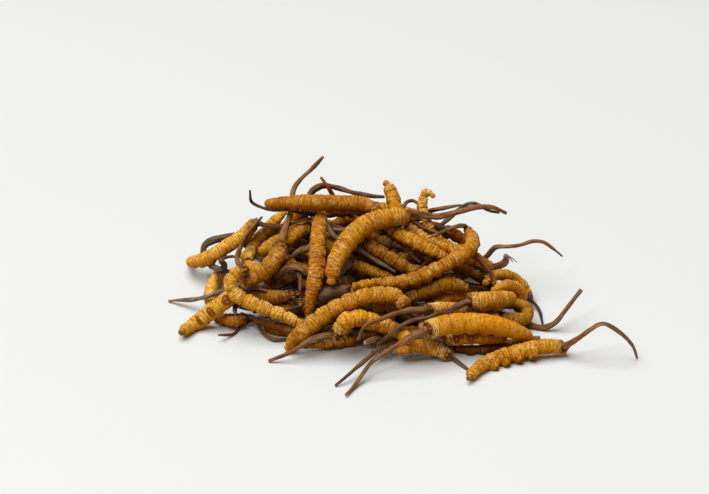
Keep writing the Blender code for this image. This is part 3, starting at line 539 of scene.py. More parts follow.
fine_lines = {}
for name, (middles, radii, head) in lines.items():
    number = int(name.split("_")[1])
    head = HEAD_RINGS.get(number, head)
    fine_lines[name] = fine_line(middles, radii, head, LOOKS[number], number)
counts = [len(line["run"]) for line in fine_lines.values()]
print("points of a fine line:", min(counts), "to", max(counts))

# %% [markdown]
# Geometry nodes start from a mesh or a curve. A curve would carry its radius by itself, but a mesh
# takes any value in the same way. The line's points and edges become one, each value is stored on
# it as an attribute, and the tree and the materials read it there by its name.

# %% A mesh that carries a line
def line_mesh(name, line):
    """A mesh of points and edges that carries a fine line's values."""
    mesh = bpy.data.meshes.new(name)
    places = line["place"]
    edges = [(k, k + 1) for k in range(len(places) - 1)]
    mesh.from_pydata(places.tolist(), edges, [])
    for key, values in line.items():
        kind, field = ("FLOAT", "value") if values.ndim == 1 else ("FLOAT_VECTOR", "vector")
        attribute = mesh.attributes.new("middle" if key == "place" else key, kind, "POINT")
        attribute.data.foreach_set(field, values.ravel())
    return mesh


# %% [markdown]
# Node trees can be drawn by hand, or written node by node and link by link. Both are hard to read
# once there are hundreds of nodes, and formulas are easier. A Field stands for a value on every
# point, and each sum, product or sine of it adds the math node that works it out.

# %% Formulas that write node trees
def connect(tree, value, socket):
    """Links a field to a socket, or sets the socket to a plain value."""
    if isinstance(value, Field):
        tree.links.new(value.socket, socket)
    else:
        socket.default_value = value


class Field:
    """A number or a vector on every point, as an output of a node tree."""

    def __init__(self, tree, socket):
        self.tree = tree
        self.socket = socket

    def math(self, operation, *others):
        """Adds one math node."""
        node = self.tree.nodes.new("ShaderNodeMath")
        node.operation = operation
        for socket, value in zip(node.inputs, (self, *others)):
            connect(self.tree, value, socket)
        return Field(self.tree, node.outputs[0])

    def __add__(self, other):
        return self.math("ADD", other)

    def __mul__(self, other):
        return self.math("MULTIPLY", other)

    def __sub__(self, other):
        return self.math("SUBTRACT", other)

    def __truediv__(self, other):
        return self.math("DIVIDE", other)

    def __pow__(self, power):
        return self.math("POWER", power)

    def __rsub__(self, other):
        """A plain number less this field."""
        return (self * -1.0) + other

    def sine(self):
        return self.math("SINE")

    def least(self, other):
        return self.math("MINIMUM", other)

    def size(self):
        return self.math("ABSOLUTE")

    def fraction(self):
        return self.math("FRACT")

    def step(self, low, high):
        """Rises smoothly from 0 at low to 1 at high."""
        node = self.tree.nodes.new("ShaderNodeMapRange")
        node.interpolation_type = "SMOOTHSTEP"
        for name, value in (("Value", self), ("From Min", low), ("From Max", high)):
            connect(self.tree, value, node.inputs[name])
        return Field(self.tree, node.outputs[0])

    def vector(self, operation, other, output="Vector"):
        """Adds one vector math node."""
        node = self.tree.nodes.new("ShaderNodeVectorMath")
        node.operation = operation
        connect(self.tree, self, node.inputs[0])
        second = node.inputs["Scale"] if operation == "SCALE" else node.inputs[1]
        connect(self.tree, other, second)
        return Field(self.tree, node.outputs[output])


def together(tree, x, y, z):
    """A vector of three numbers."""
    node = tree.nodes.new("ShaderNodeCombineXYZ")
    for socket, value in zip(node.inputs, (x, y, z)):
        connect(tree, value, socket)
    return Field(tree, node.outputs[0])


def noise(tree, places, scale, detail=2.0, roughness=0.5):
    """Soft random values around a half."""
    node = tree.nodes.new("ShaderNodeTexNoise")
    connect(tree, places, node.inputs["Vector"])
    node.inputs["Scale"].default_value = scale
    node.inputs["Detail"].default_value = detail
    node.inputs["Roughness"].default_value = roughness
    return Field(tree, node.outputs[0])


def beads(tree, places, scale, feature="F1"):
    """The distance from the nearest of many scattered points, or from the edge between two."""
    node = tree.nodes.new("ShaderNodeTexVoronoi")
    node.feature = feature
    connect(tree, places, node.inputs["Vector"])
    node.inputs["Scale"].default_value = scale
    return Field(tree, node.outputs["Distance"])


def mixed(first, second, share):
    """The first value where the share is 0, and the second where it is 1."""
    return first + (second - first) * share


# %% [markdown]
# The larva's four pairs of prolegs stay as round lobes under the middle segments, each with a dark
# ring. Small balls could be put there, but they would have to be joined to the skin. The distance
# from the nearest proleg follows from the place along the body and round it, and the same formula
# then serves the shape and the colour.

# %% The distance from a proleg
LEG_ANGLE = 0.24  # radians from the belly's middle to a row of prolegs
FIRST_LEGGED, LAST_LEGGED = 2.0, 6.0  # segments, counted from the tail
print("degrees between the two rows of prolegs:", round(math.degrees(2 * LEG_ANGLE)))


def around(belly, side):
    """The angle from the belly's middle, in radians, the same on both sides."""
    return side.math("ARCTAN2", belly).size()


def leg_reach(segments, pitch, belly, side, angle=LEG_ANGLE, width=1.0):
    """Millimetres from the nearest proleg's middle, over the skin."""
    half = (belly * belly + side * side).math("SQRT")
    along = (segments.fraction() - 0.5) * pitch
    across = (around(belly, side) - angle) * half / width
    return (along * along + across * across).math("SQRT")


def legged(segments):
    """1 on the segments with prolegs, and 0 on the others."""
    return (segments.math("GREATER_THAN", FIRST_LEGGED)
            * segments.math("LESS_THAN", LAST_LEGGED))


# %% [markdown]
# One tree grows every specimen, so all of them are of one kind, and only their values differ.
# Sculpting would be truer to one specimen, but not to sixty. The tree begins with a circle that is
# carried along the line, as wide at each point as the line says. Its sizes are named inputs.

# %% The tree's inputs and the swept circle
TREE_INPUTS = {
    # name: (kind of socket, value)
    "Line": ("Geometry", None), "Heap": ("Object", None), "Points Around": ("Int", 26),
    "Fold Depth": ("Float", 0.2), "Groove Depth": ("Float", 0.3), "Swell": ("Float", 0.2),
    "Lumps": ("Float", 0.15), "Crumples": ("Float", 0.25), "Lobes": ("Float", 0.5),
    "Stalk Ridges": ("Float", 0.42), "Seed": ("Float", 0.0),
    "Skin": ("Material", None), "Stalk": ("Material", None),
}
print("inputs of the tree:", len(TREE_INPUTS))


def tree_with_inputs(name):
    """A node tree with its output socket, and its inputs as fields."""
    tree = bpy.data.node_groups.new(name, "GeometryNodeTree")
    for title, (kind, value) in TREE_INPUTS.items():
        kind = "NodeSocket" + kind
        socket = tree.interface.new_socket(title, in_out="INPUT", socket_type=kind)
        if value is not None:
            socket.default_value = value
    tree.interface.new_socket("Specimen", in_out="OUTPUT", socket_type="NodeSocketGeometry")
    given = tree.nodes.new("NodeGroupInput").outputs
    return tree, {title: Field(tree, given[title]) for title in TREE_INPUTS}


def next_node(tree, kind, geometry, socket="Geometry"):
    """A node that takes a geometry in."""
    node = tree.nodes.new(kind)
    tree.links.new(geometry, node.inputs[socket])
    return node


def named(tree, name, kind="FLOAT"):
    """A value that is stored on the points by that name."""
    node = tree.nodes.new("GeometryNodeInputNamedAttribute")
    node.data_type = kind
    node.inputs["Name"].default_value = name
    return Field(tree, node.outputs["Attribute"])


def stored(tree, geometry, name, value, kind="FLOAT"):
    """The geometry with a value stored on its points."""
    node = next_node(tree, "GeometryNodeStoreNamedAttribute", geometry)
    node.data_type = kind
    node.domain = "POINT"
    node.inputs["Name"].default_value = name
    tree.links.new(value.socket, node.inputs["Value"])
    return node.outputs["Geometry"]


def apart(tree, vector):
    """The three numbers of a vector."""
    node = tree.nodes.new("ShaderNodeSeparateXYZ")
    tree.links.new(vector, node.inputs[0])
    return [Field(tree, socket) for socket in node.outputs]


def swept_line(tree, given):
    """A circle carried along the line, as wide at each point as the line says."""
    curve = next_node(tree, "GeometryNodeMeshToCurve", given["Line"].socket, "Mesh")
    circle = tree.nodes.new("GeometryNodeCurvePrimitiveCircle")
    circle.inputs["Radius"].default_value = 1.0
    tree.links.new(given["Points Around"].socket, circle.inputs["Resolution"])
    sweep = next_node(tree, "GeometryNodeCurveToMesh", curve.outputs[0], "Curve")
    sweep.inputs["Fill Caps"].default_value = True
    tree.links.new(circle.outputs["Curve"], sweep.inputs["Profile Curve"])
    tree.links.new(named(tree, "half").socket, sweep.inputs["Scale"])
    return sweep.outputs["Mesh"]


# %% [markdown]
# Drying has wrinkled the larva. Close folds run round it, but they waver, fork and fade, and
# deeper grooves part the segments. A plain sine looks like a screw's thread, and a picture of
# folds would repeat. So the sine of the counted folds is bent by noise, changes its beat in
# patches, and is mixed with long cells that look like small puffs.

# %% Folds and grooves
FOLD_SHARPNESS = 1.3  # the sine's power: above 1 it widens the valleys


def body_folds(tree, straight, run, belly, side):
    """The folds round the body, from 0 in a valley to 1 on a crest, broken up into puffs."""
    waver = noise(tree, straight, 0.22, 1.0) - 0.5
    flutter = noise(tree, straight, 0.8, 1.0) - 0.5
    crowding = noise(tree, together(tree, run, 0.0, 0.0), 0.5, 1.0) - 0.5
    folds = named(tree, "folds") + waver * 1.8 + flutter * 1.0 + crowding * 1.5
    even_folds = (folds * math.pi).sine().size() ** FOLD_SHARPNESS
    cross_folds = (folds * (1.37 * math.pi) + 0.9).sine().size() ** FOLD_SHARPNESS
    patches = noise(tree, straight, 0.33, 1.0).step(0.44, 0.58)
    long_puffs = together(tree, folds * 0.95, belly * 0.42, side * 0.42)
    puffs = beads(tree, long_puffs, 1.0, "DISTANCE_TO_EDGE").step(0.0, 0.30)
    return mixed(mixed(even_folds, cross_folds, patches), puffs, 0.33)


def body_groove(tree, straight, segments):
    """The grooves between segments: 1 at the bottom, of a depth that comes and goes."""
    waver = noise(tree, straight, 0.5, 1.0) - 0.5
    within = (segments + waver * 0.16).fraction()
    from_groove = within.least(1.0 - within) * named(tree, "pitch")
    depth = noise(tree, straight, 0.42, 1.0).step(0.36, 0.66)
    return (1.0 - from_groove.step(0.0, 0.5)) * (depth * 0.9 + 0.1)


# %% [markdown]
# Now each point of the skin moves in or out: on crests and in valleys, on segments that swell, on
# lumps, on the lobes of the prolegs and on the crumples of neck and head. Nothing of this
# overhangs, so one sum is enough. Each share has noise of its own, and no two stretches are
# alike.

# %% The relief of the body
def body_relief(tree, given, straight, crest, groove, belly, side):
    """How far the body's skin stands out of the swept circle, in millimetres."""
    neck = named(tree, "neck")
    head = named(tree, "head")
    segments = named(tree, "segments")
    strength = noise(tree, straight, 0.38, 1.0).step(0.34, 0.66) * 1.2 + 0.2
    swell = (segments.fraction() * math.pi).sine() ** 0.7
    size_of_swell = noise(tree, straight, 0.16, 1.0) * 1.6 + 0.2
    lumps = (noise(tree, straight, 0.42, 2.0) - 0.5) * 2.0
    crumples = (noise(tree, straight, 1.25, 2.0, 0.6) - 0.5) * 2.0
    reach = leg_reach(segments, named(tree, "pitch"), belly, side)
    lobes = (1.0 - reach.step(0.9, 1.9)) * legged(segments)
    thick = (named(tree, "half") / MM).step(0.3, 1.9)
    return ((crest - 0.6) * strength * thick * given["Fold Depth"] * (neck * 1.2 + 1.0)
            - groove * thick * given["Groove Depth"]
            + (swell - 0.6) * size_of_swell * thick * given["Swell"]
            + lumps * thick * given["Lumps"]
            + lobes * given["Lobes"]
            + crumples * (neck * 0.2 + head * 0.7 + given["Crumples"]))


# %% [markdown]
# The stalk has dried to a wrinkled stem with two flat sides, which turn slowly on the way to the
# tip. Many thin ribs could be modelled, but noise that is stretched along the stalk gives ridges
# that begin and end as the real ones do. A sine of twice the angle presses the sides flat.

# %% The relief of the stalk
def stalk_relief(tree, given, straight, belly, side):
    """How far the stalk's skin stands out, as a share of its radius: ridges, warts, flat sides."""
    run = apart(tree, straight.socket)[0]
    along = together(tree, run * 0.16, belly * 1.3, side * 1.3)
    ridges = (noise(tree, along, 1.0, 2.0) - 0.5) * 2.0
    warts = (noise(tree, straight, 1.3, 2.0) - 0.5) * 2.0
    twist = noise(tree, together(tree, run, 0.0, 0.0), 0.06, 1.0) * 9.0
    flatness = ((side.math("ARCTAN2", belly) - twist) * 2.0).sine()
    return ridges * given["Stalk Ridges"] + warts * 0.10 + flatness * 0.16


# %% [markdown]
# A heap is dark inside. The lamps show that already, but the photograph is darker still, so the
# skin is painted darker there as well: painted shade. A hand could paint the dark places, but the
# tree can also find them: each point counts how many of eleven lines of sight leave the heap, one
# straight up and ten around. The count belongs to the place and not to the viewer, so it holds
# from every side. A few specimens stay light though they lie low, and their line gives a lift that
# is added to it, which lessens their painted shade.

# %% How open a point lies
SIGHT_LENGTH = 60 * MM
OFF_THE_SKIN = 0.7 * MM


def sight(turn, rise):
    """A direction that is turned about the upright and rises above the table, in radians."""
    return math.cos(turn) * math.cos(rise), math.sin(turn) * math.cos(rise), math.sin(rise)


SIGHTS = [(0.0, 0.0, 1.0)] + [sight(first + k * math.tau / 5, rise)
                              for rise, first in ((0.85, 0.0), (0.3, 0.6)) for k in range(5)]


def openness(tree, heap, position, outward):
    """The share of a few lines of sight from each point that leave the heap."""
    start = position.vector("ADD", outward.vector("SCALE", OFF_THE_SKIN))
    hits = []
    for direction in SIGHTS:
        ray = next_node(tree, "GeometryNodeRaycast", heap, "Target Geometry")
        tree.links.new(start.socket, ray.inputs["Source Position"])
        ray.inputs["Ray Direction"].default_value = direction
        ray.inputs["Ray Length"].default_value = SIGHT_LENGTH
        hits.append(Field(tree, ray.outputs["Is Hit"]))
    return 1.0 - sum(hits[1:], hits[0]) / float(len(SIGHTS))


print("lines of sight from a point:", len(SIGHTS))

# %% [markdown]
# The parts come together: the swept circle, its relief, the cup of a cut end, and the table, below
# which no point goes. A bump in the material would be cheaper, but it leaves the outline smooth,
# so the folds are real shapes. The tree also stores folds, grooves and openness, and the materials
# read them, so shape and colour keep to the same places.

# %% The whole tree
SEED_STEP = 71.3  # how far apart the specimens take their noise from


def outward_of(tree, position):
    """The way from the line's middle to a point of the skin, and its shares to belly and side."""
    outward = position.vector("SUBTRACT", named(tree, "middle", "FLOAT_VECTOR"))
    belly, side = [outward.vector("DOT_PRODUCT", named(tree, way, "FLOAT_VECTOR"), "Value") / MM
                   for way in ("belly", "side")]
    return outward, belly, side


def finish_of(tree, geometry, given, on_stalk):
    """The last nodes: smooth shading, the two materials and real geometry."""
    smooth = next_node(tree, "GeometryNodeSetShadeSmooth", geometry)
    skinned = next_node(tree, "GeometryNodeSetMaterial", smooth.outputs[0])
    tree.links.new(given["Skin"].socket, skinned.inputs["Material"])
    stalked = next_node(tree, "GeometryNodeSetMaterial", skinned.outputs[0])
    tree.links.new(on_stalk.math("GREATER_THAN", 0.5).socket, stalked.inputs["Selection"])
    tree.links.new(given["Stalk"].socket, stalked.inputs["Material"])
    real = next_node(tree, "GeometryNodeRealizeInstances", stalked.outputs[0])
    tree.links.new(real.outputs[0], tree.nodes.new("NodeGroupOutput").inputs[0])


def grow_specimen_tree():
    """The tree that turns a line into a specimen."""
    tree, given = tree_with_inputs("cordyceps")
    position = Field(tree, tree.nodes.new("GeometryNodeInputPosition").outputs[0])
    outward, belly, side = outward_of(tree, position)
    run = named(tree, "run") + given["Seed"] * SEED_STEP
    straight = together(tree, run, belly, side)
    half = named(tree, "half") / MM
    on_stalk = named(tree, "stalk")

    crest = body_folds(tree, straight, run, belly, side)
    groove = body_groove(tree, straight, named(tree, "segments"))
    body = body_relief(tree, given, straight, crest, groove, belly, side)
    stalk = stalk_relief(tree, given, straight, belly, side) * half
    lumpy = beads(tree, straight, 0.8)
    crumbs = (0.42 - lumpy) * named(tree, "head") * 1.3
    relief = (mixed(body, stalk, on_stalk) + crumbs) * half.step(0.0, 0.6)

    direction = outward.vector("NORMALIZE", (0, 0, 0))
    moved = position.vector("ADD", direction.vector("SCALE", relief * MM))
    cup = named(tree, "way", "FLOAT_VECTOR").vector("SCALE", named(tree, "cup") * MM)
    x, y, z = apart(tree, moved.vector("SUBTRACT", cup).socket)
    on_table = together(tree, x, y, z.math("MAXIMUM", 0.0))

    up = apart(tree, tree.nodes.new("GeometryNodeInputNormal").outputs[0])[2]
    heap_of = tree.nodes.new("GeometryNodeObjectInfo")
    tree.links.new(given["Heap"].socket, heap_of.inputs["Object"])
    openly = (openness(tree, heap_of.outputs["Geometry"], position, direction)
              + named(tree, "lift"))
    geometry = swept_line(tree, given)
    for name, value in {"up": up, "open": openly, "crest": crest, "groove": groove,
                        "beads": lumpy}.items():
        geometry = stored(tree, geometry, name, value)
    geometry = stored(tree, geometry, "straight", straight, "FLOAT_VECTOR")
    shaped = next_node(tree, "GeometryNodeSetPosition", geometry)
    tree.links.new(on_table.socket, shaped.inputs["Position"])
    finish_of(tree, shaped.outputs[0], given, on_stalk)
    return tree


specimen_tree = grow_specimen_tree()
print("nodes in the specimen's tree:", len(specimen_tree.nodes))

# %% [markdown]
# Dried skin is never one colour. The crests of the folds are golden, the valleys hold a dark
# orange-brown, smudges run round the body, and the ridges of the neck bleach to straw. The head
# and the tip of the tail are brown. Painting sixty bodies would take days, so each skin is mixed
# from the same recipe. Six kinds of skin cover the heap, of four colours each.

# %% Colours of the skins
SKINS = {
    # name: (crest, valley, smudge, highlight), as linear colours
    "golden": ((0.72, 0.308, 0.005), (0.44, 0.130, 0.001),
               (0.28, 0.062, 0.001), (0.88, 0.54, 0.160)),
    "amber": ((0.76, 0.308, 0.004), (0.50, 0.156, 0.001),
              (0.34, 0.079, 0.001), (0.86, 0.49, 0.090)),
    "ochre": ((0.61, 0.243, 0.004), (0.36, 0.102, 0.001),
              (0.22, 0.048, 0.001), (0.80, 0.47, 0.130)),
    "straw": ((0.76, 0.370, 0.025), (0.44, 0.156, 0.003),
              (0.31, 0.088, 0.002), (0.95, 0.66, 0.240)),
    "russet": ((0.58, 0.210, 0.005), (0.33, 0.083, 0.001),
               (0.22, 0.043, 0.001), (0.84, 0.45, 0.120)),
    # painted shade: a skin this dark for specimens that lie deep in the heap
    "dark": ((0.24, 0.078, 0.008), (0.110, 0.030, 0.002),
             (0.060, 0.016, 0.002), (0.32, 0.13, 0.028)),
}
# pale dust and painted highlight, on crests that face up
PALE_DUST_AND_HIGHLIGHT = (0.96, 0.63, 0.22)
PALE_NECK = (0.86, 0.58, 0.20)
HEAD_BROWN = (0.10, 0.027, 0.005)
HEAD_TAN = (0.38, 0.165, 0.045)
RING_BROWN = (0.15, 0.031, 0.002)
PAINTED_SHADE_BROWN = (0.045, 0.008, 0.001)  # painted shade, where the skin lies buried in the heap
LEG_DOT = (0.55, 0.33, 0.14)
LEG_DOTTED = (21, 50)  # specimens whose prolegs show a pale dot
SKIN_FINISH = (0.6, 0.95, 0.03)  # roughness, strength of the bump, and how much it shines
NECK_TONES = 4  # shades of neck, so that specimens can share a material
print("kinds of skin:", len(SKINS))

# %% [markdown]
# A material is written like the tree, as formulas. It reads what the tree has stored on the skin,
# so it needs no picture and no unwrapping. Grain finer than the mesh is left to a bump.

# %% Helpers for materials
BUMP_DEPTH = 0.12 * MM
PAINTED_SHADE_BELOW = 0.42  # openness below which a surface gets painted shade
PAINTED_SHADE_SHARE = 0.66  # how dark the painted shade becomes where nothing is open


def attribute_field(tree, name, output="Fac"):
    """A value that the tree has stored, in a material."""
    node = tree.nodes.new("ShaderNodeAttribute")
    node.attribute_name = name
    return Field(tree, node.outputs[output])


def colored(tree, first, second, share):
    """A mix of two colours."""
    node = tree.nodes.new("ShaderNodeMix")
    node.data_type = "RGBA"
    sockets = [s for s in node.inputs if s.type == "RGBA"]
    for socket, value in zip(sockets, (first, second)):
        connect(tree, value if isinstance(value, Field) else (*value, 1), socket)
    connect(tree, share, node.inputs["Factor"])
    return Field(tree, [s for s in node.outputs if s.type == "RGBA"][0])


def crumb_color(tree):
    """Brown crumbs with tan between them, as on a head."""
    return colored(tree, HEAD_TAN, HEAD_BROWN, attribute_field(tree, "beads").step(0.28, 0.58))


def with_painted_shade(tree, color, deep):
    """Painted shade: a colour turning into a deep one where few lines of sight leave the heap."""
    share = (1.0 - attribute_field(tree, "open").step(0.0, PAINTED_SHADE_BELOW)) * PAINTED_SHADE_SHARE
    return colored(tree, color, deep, share)


def surface(tree, color, height, roughness, strength, shine):
    """Ends a material: its colour, its roughness and a bump."""
    shader = tree.nodes["Principled BSDF"]
    tree.links.new(color.socket, shader.inputs["Base Color"])
    shader.inputs["Roughness"].default_value = roughness
    shader.inputs["Specular IOR Level"].default_value = shine
    bump = tree.nodes.new("ShaderNodeBump")
    bump.inputs["Strength"].default_value = strength
    bump.inputs["Distance"].default_value = BUMP_DEPTH
    tree.links.new(height.socket, bump.inputs["Height"])
    tree.links.new(bump.outputs[0], shader.inputs["Normal"])


# %% [markdown]
# The recipe lays one thin colour over the other, as a painter glazes: crests and valleys, painted
# highlights and pale dust on what faces up, smudges, specks, painted shade on the underside, dark
# lines in the deepest valleys, and grooves, and then the neck, the prolegs and both ends. Only two
# specimens in the photograph show pale dots on their prolegs, so only these have them. Each
# specimen's shade, partly its own tone and partly painted light, and the painted shade of the
# heap's inside come last.

# %% The recipe of a skin
def with_prolegs(tree, color, smudge_color, straight, dotted):
    """A skin's colour with the dark patch round the prolegs, and a dot on each where wished."""
    segments, pitch = attribute_field(tree, "segments"), attribute_field(tree, "pitch")
    _, belly, side = apart(tree, straight.socket)
    patch = 1.0 - leg_reach(segments, pitch, belly, side, 0.0, 1.35).step(1.0, 1.6)
    color = colored(tree, color, RING_BROWN, patch * legged(segments) * 0.85)
    if not dotted:
        return color
    reach = leg_reach(segments, pitch, belly, side)
    ring = 1.0 - (reach - 0.5).size().step(0.05, 0.22)
    dot = 1.0 - reach.step(0.12, 0.24)
    color = colored(tree, color, smudge_color, ring * legged(segments) * 0.9)
    return colored(tree, color, LEG_DOT, dot * legged(segments))


def skin_material(name, crest_color, valley_color, smudge_color, highlight, paleness, dotted):
    """A skin, from its four colours."""
    material, tree, _ = new_material(name)
    straight = attribute_field(tree, "straight", "Vector")
    crest, groove, neck, head, tail, up, shade = [
        attribute_field(tree, key)
        for key in ("crest", "groove", "neck", "head", "tail", "up", "shade")]

    tones = noise(tree, straight, 0.14, 2.0)
    clouds = noise(tree, straight, 0.35, 3.0)
    ringwise = straight.vector("MULTIPLY", (1.0, 0.30, 0.30))
    smudges = noise(tree, ringwise, 1.0, 3.0, 0.65)
    fine_rings = noise(tree, straight.vector("MULTIPLY", (1.7, 0.35, 0.35)), 1.0, 2.0)
    grains = noise(tree, straight, 4.5, 3.0, 0.6)
    specks = noise(tree, straight, 1.5, 3.0, 0.65)

    # crests and valleys, then painted highlights and pale dust on crests that face up
    painted_light_on_top = up.step(-0.4, 0.8)
    color = colored(tree, valley_color, crest_color, crest.step(0.0, 0.7) * 0.75 + 0.25)
    color = colored(tree, color, smudge_color, tones.step(0.50, 0.66) * 0.45)
    lit = (crest.step(0.3, 0.95) * 0.7 + 0.15) * (clouds.step(0.36, 0.60) * 0.65 + 0.2) * painted_light_on_top
    color = colored(tree, color, highlight, lit)
    # pale dust and painted highlight, where the skin faces up
    dust_and_highlight = (crest.step(0.2, 0.9) * 0.6 + 0.4) * clouds.step(0.52, 0.68) * painted_light_on_top
    color = colored(tree, color, PALE_DUST_AND_HIGHLIGHT, dust_and_highlight * 0.28)

    # smudges, specks, painted shade underneath, dark lines in the deepest valleys, and grooves
    color = colored(tree, color, smudge_color, smudges.step(0.52, 0.66) * 0.5)
    color = colored(tree, color, smudge_color, specks.step(0.53, 0.66) * 0.7)
    color = colored(tree, color, RING_BROWN, specks.step(0.60, 0.72) * 0.65)
    # painted shade: darker where the skin faces down
    color = colored(tree, color, smudge_color, (1.0 - up.step(-0.8, 0.3)) * 0.5)
    color = colored(tree, color, valley_color, fine_rings.step(0.52, 0.66) * 0.5)
    # darker lines in the deepest fold valleys
    valley_lines = (1.0 - crest).step(0.70, 1.0) * (clouds.step(0.42, 0.58) * 0.7 + 0.3)
    color = colored(tree, color, RING_BROWN, valley_lines * 0.85)
    color = colored(tree, color, smudge_color, grains.step(0.55, 0.68) * 0.5)
    color = colored(tree, color, RING_BROWN, groove.step(0.3, 0.95) * 0.65)

    # the neck, the prolegs and both ends
    color = colored(tree, color, PALE_NECK, neck * (crest.step(0.3, 0.8) * 0.8 + 0.1) * paleness)
    color = colored(tree, color, smudge_color, neck * (1.0 - crest.step(0.1, 0.5)) * paleness)
    color = with_prolegs(tree, color, smudge_color, straight, dotted)
    crumbly = (head * 1.5) * (clouds.step(0.3, 0.5) * 0.5 + 0.5)
    color = colored(tree, color, crumb_color(tree), crumbly)
    color = colored(tree, color, HEAD_TAN, tail * 0.8)
    color = colored(tree, color, HEAD_BROWN, tail.step(0.45, 1.0) * 0.7)

    # the specimen's own tone and painted light, then painted shade where it lies deep in the heap
    color = with_painted_shade(tree, color.vector("SCALE", shade), PAINTED_SHADE_BROWN)
    surface(tree, color, grains * 0.9 + fine_rings * 1.2 + specks * 2.8, *SKIN_FINISH)
    return material


skins = {}


def skin_for(name, paleness, dotted):
    """The skin of a name, with its tone of neck, and with or without dots on the prolegs."""
    pale = round(paleness * NECK_TONES) / NECK_TONES
    key = f"{name}_skin_{round(pale * 100)}" + ("_dotted" if dotted else "")
    if key not in skins:
        skins[key] = skin_material(key, *SKINS[name], pale, dotted)
    return skins[key]


# %% [markdown]
# The stalk is the fungus itself: dry, dull and fibrous, brown to grey or nearly black. A wave
# texture makes streaks too, but evenly spaced ones, so noise is stretched along the stalk. Four
# of the eleven kinds are for one specimen each, whose tip was cut, broken or peeled.

# %% Stalks
STALKS = {
    # name: (light, dark, warm, tip), as linear colours
    "brown": ((0.29, 0.138, 0.049), (0.080, 0.030, 0.010),
              (0.32, 0.104, 0.022), (0.17, 0.100, 0.060)),
    "red": ((0.27, 0.100, 0.036), (0.085, 0.026, 0.010),
            (0.30, 0.075, 0.020), (0.20, 0.080, 0.038)),
    "umber": ((0.22, 0.112, 0.047), (0.060, 0.026, 0.010),
              (0.20, 0.075, 0.026), (0.12, 0.066, 0.038)),
    "grey": ((0.30, 0.205, 0.138), (0.090, 0.053, 0.032),
             (0.26, 0.140, 0.076), (0.24, 0.195, 0.155)),
    "olive": ((0.17, 0.116, 0.058), (0.048, 0.028, 0.014),
              (0.15, 0.080, 0.034), (0.07, 0.052, 0.036)),
    "black": ((0.075, 0.052, 0.038), (0.014, 0.010, 0.008),
              (0.08, 0.040, 0.022), (0.03, 0.021, 0.016)),
    "tan": ((0.34, 0.186, 0.073), (0.115, 0.050, 0.017),
            (0.37, 0.125, 0.028), (0.30, 0.170, 0.085)),
    "cut": ((0.42, 0.270, 0.140), (0.160, 0.080, 0.034),
            (0.40, 0.200, 0.080), (0.62, 0.470, 0.290)),
    "stump": ((0.30, 0.170, 0.085), (0.090, 0.045, 0.024),
              (0.24, 0.120, 0.060), (0.85, 0.780, 0.680)),
    "broken": ((0.27, 0.140, 0.055), (0.075, 0.034, 0.014),
               (0.25, 0.085, 0.025), (0.15, 0.115, 0.085)),
    "peeled": ((0.24, 0.124, 0.052), (0.070, 0.030, 0.014),
               (0.22, 0.080, 0.024), (0.60, 0.480, 0.350)),
}
# painted shade, where a stalk lies deep in the heap and inside a cut end's hollow
STALK_PAINTED_SHADE = (0.016, 0.009, 0.006)
STALK_FINISH = (0.66, 0.7, 0.25)  # roughness, strength of the bump, and how much it shines


def stalk_material(name, light, dark, warm, tip_color):
    """A stalk, from its four colours."""
    material, tree, _ = new_material(name)
    straight = attribute_field(tree, "straight", "Vector")
    tip, head, cup = [attribute_field(tree, key) for key in ("tip", "head", "cup")]
    lengthwise = straight.vector("MULTIPLY", (0.28, 2.4, 2.4))
    streaks = noise(tree, lengthwise, 1.0, 3.0, 0.6)
    clouds = noise(tree, straight, 0.25, 2.0)
    stretches = noise(tree, straight.vector("MULTIPLY", (0.08, 0.02, 0.02)), 1.0, 1.0)
    grains = noise(tree, straight, 5.0, 3.0, 0.6)
    color = colored(tree, light, warm, stretches.step(0.44, 0.58))
    streaky = streaks.step(0.32, 0.60) * (clouds.step(0.3, 0.6) * 0.6 + 0.4)
    color = colored(tree, dark, color, streaky)
    color = colored(tree, color, dark, grains.step(0.55, 0.75) * 0.45)
    # painted shade where the stalk lies deep in the heap
    color = with_painted_shade(tree, color, STALK_PAINTED_SHADE)
    color = colored(tree, color, tip_color, tip * 0.85)
    color = colored(tree, color, crumb_color(tree), head * 1.2 * clouds.step(0.2, 0.5))
    # painted shade inside the hollow of a cut end
    color = colored(tree, color, STALK_PAINTED_SHADE, cup.step(0.35, 0.9))
    surface(tree, color, streaks * 2.0 + grains * 0.6, *STALK_FINISH)
    return material


stalks = {name: stalk_material(name + "_stalk", *colors) for name, colors in STALKS.items()}
print("kinds of stalk:", len(stalks))

# %% [markdown]
# The lines of sight need something to meet. The finished skins aren't there yet, and they would
# be slow, so all solids together stand for the heap: as an object for the tree, and as a search
# tree for the specimens that are laid inside later.

# %% All solids as one mesh
corners, faces = [], []
for node in frame["nodes"].values():
    faces.extend([[k + len(corners) for k in face.vertices] for face in node.data.polygons])
    corners.extend([vertex.co.copy() for vertex in node.data.vertices])
heap_mesh = bpy.data.meshes.new("all_solids")
heap_mesh.from_pydata(corners, [], faces)
heap_object = bpy.data.objects.new("all_solids", heap_mesh)
heap = BVHTree.FromPolygons(corners, faces)
print("faces of all solids:", len(faces))

# %% [markdown]
# Each line becomes one finished mesh. The modifier could stay on the specimen, but it would run
# again at each change. So it runs once, its result is kept as a plain mesh, and the helper with
# the line goes away. The finished specimen then stands for its solid in the frame.

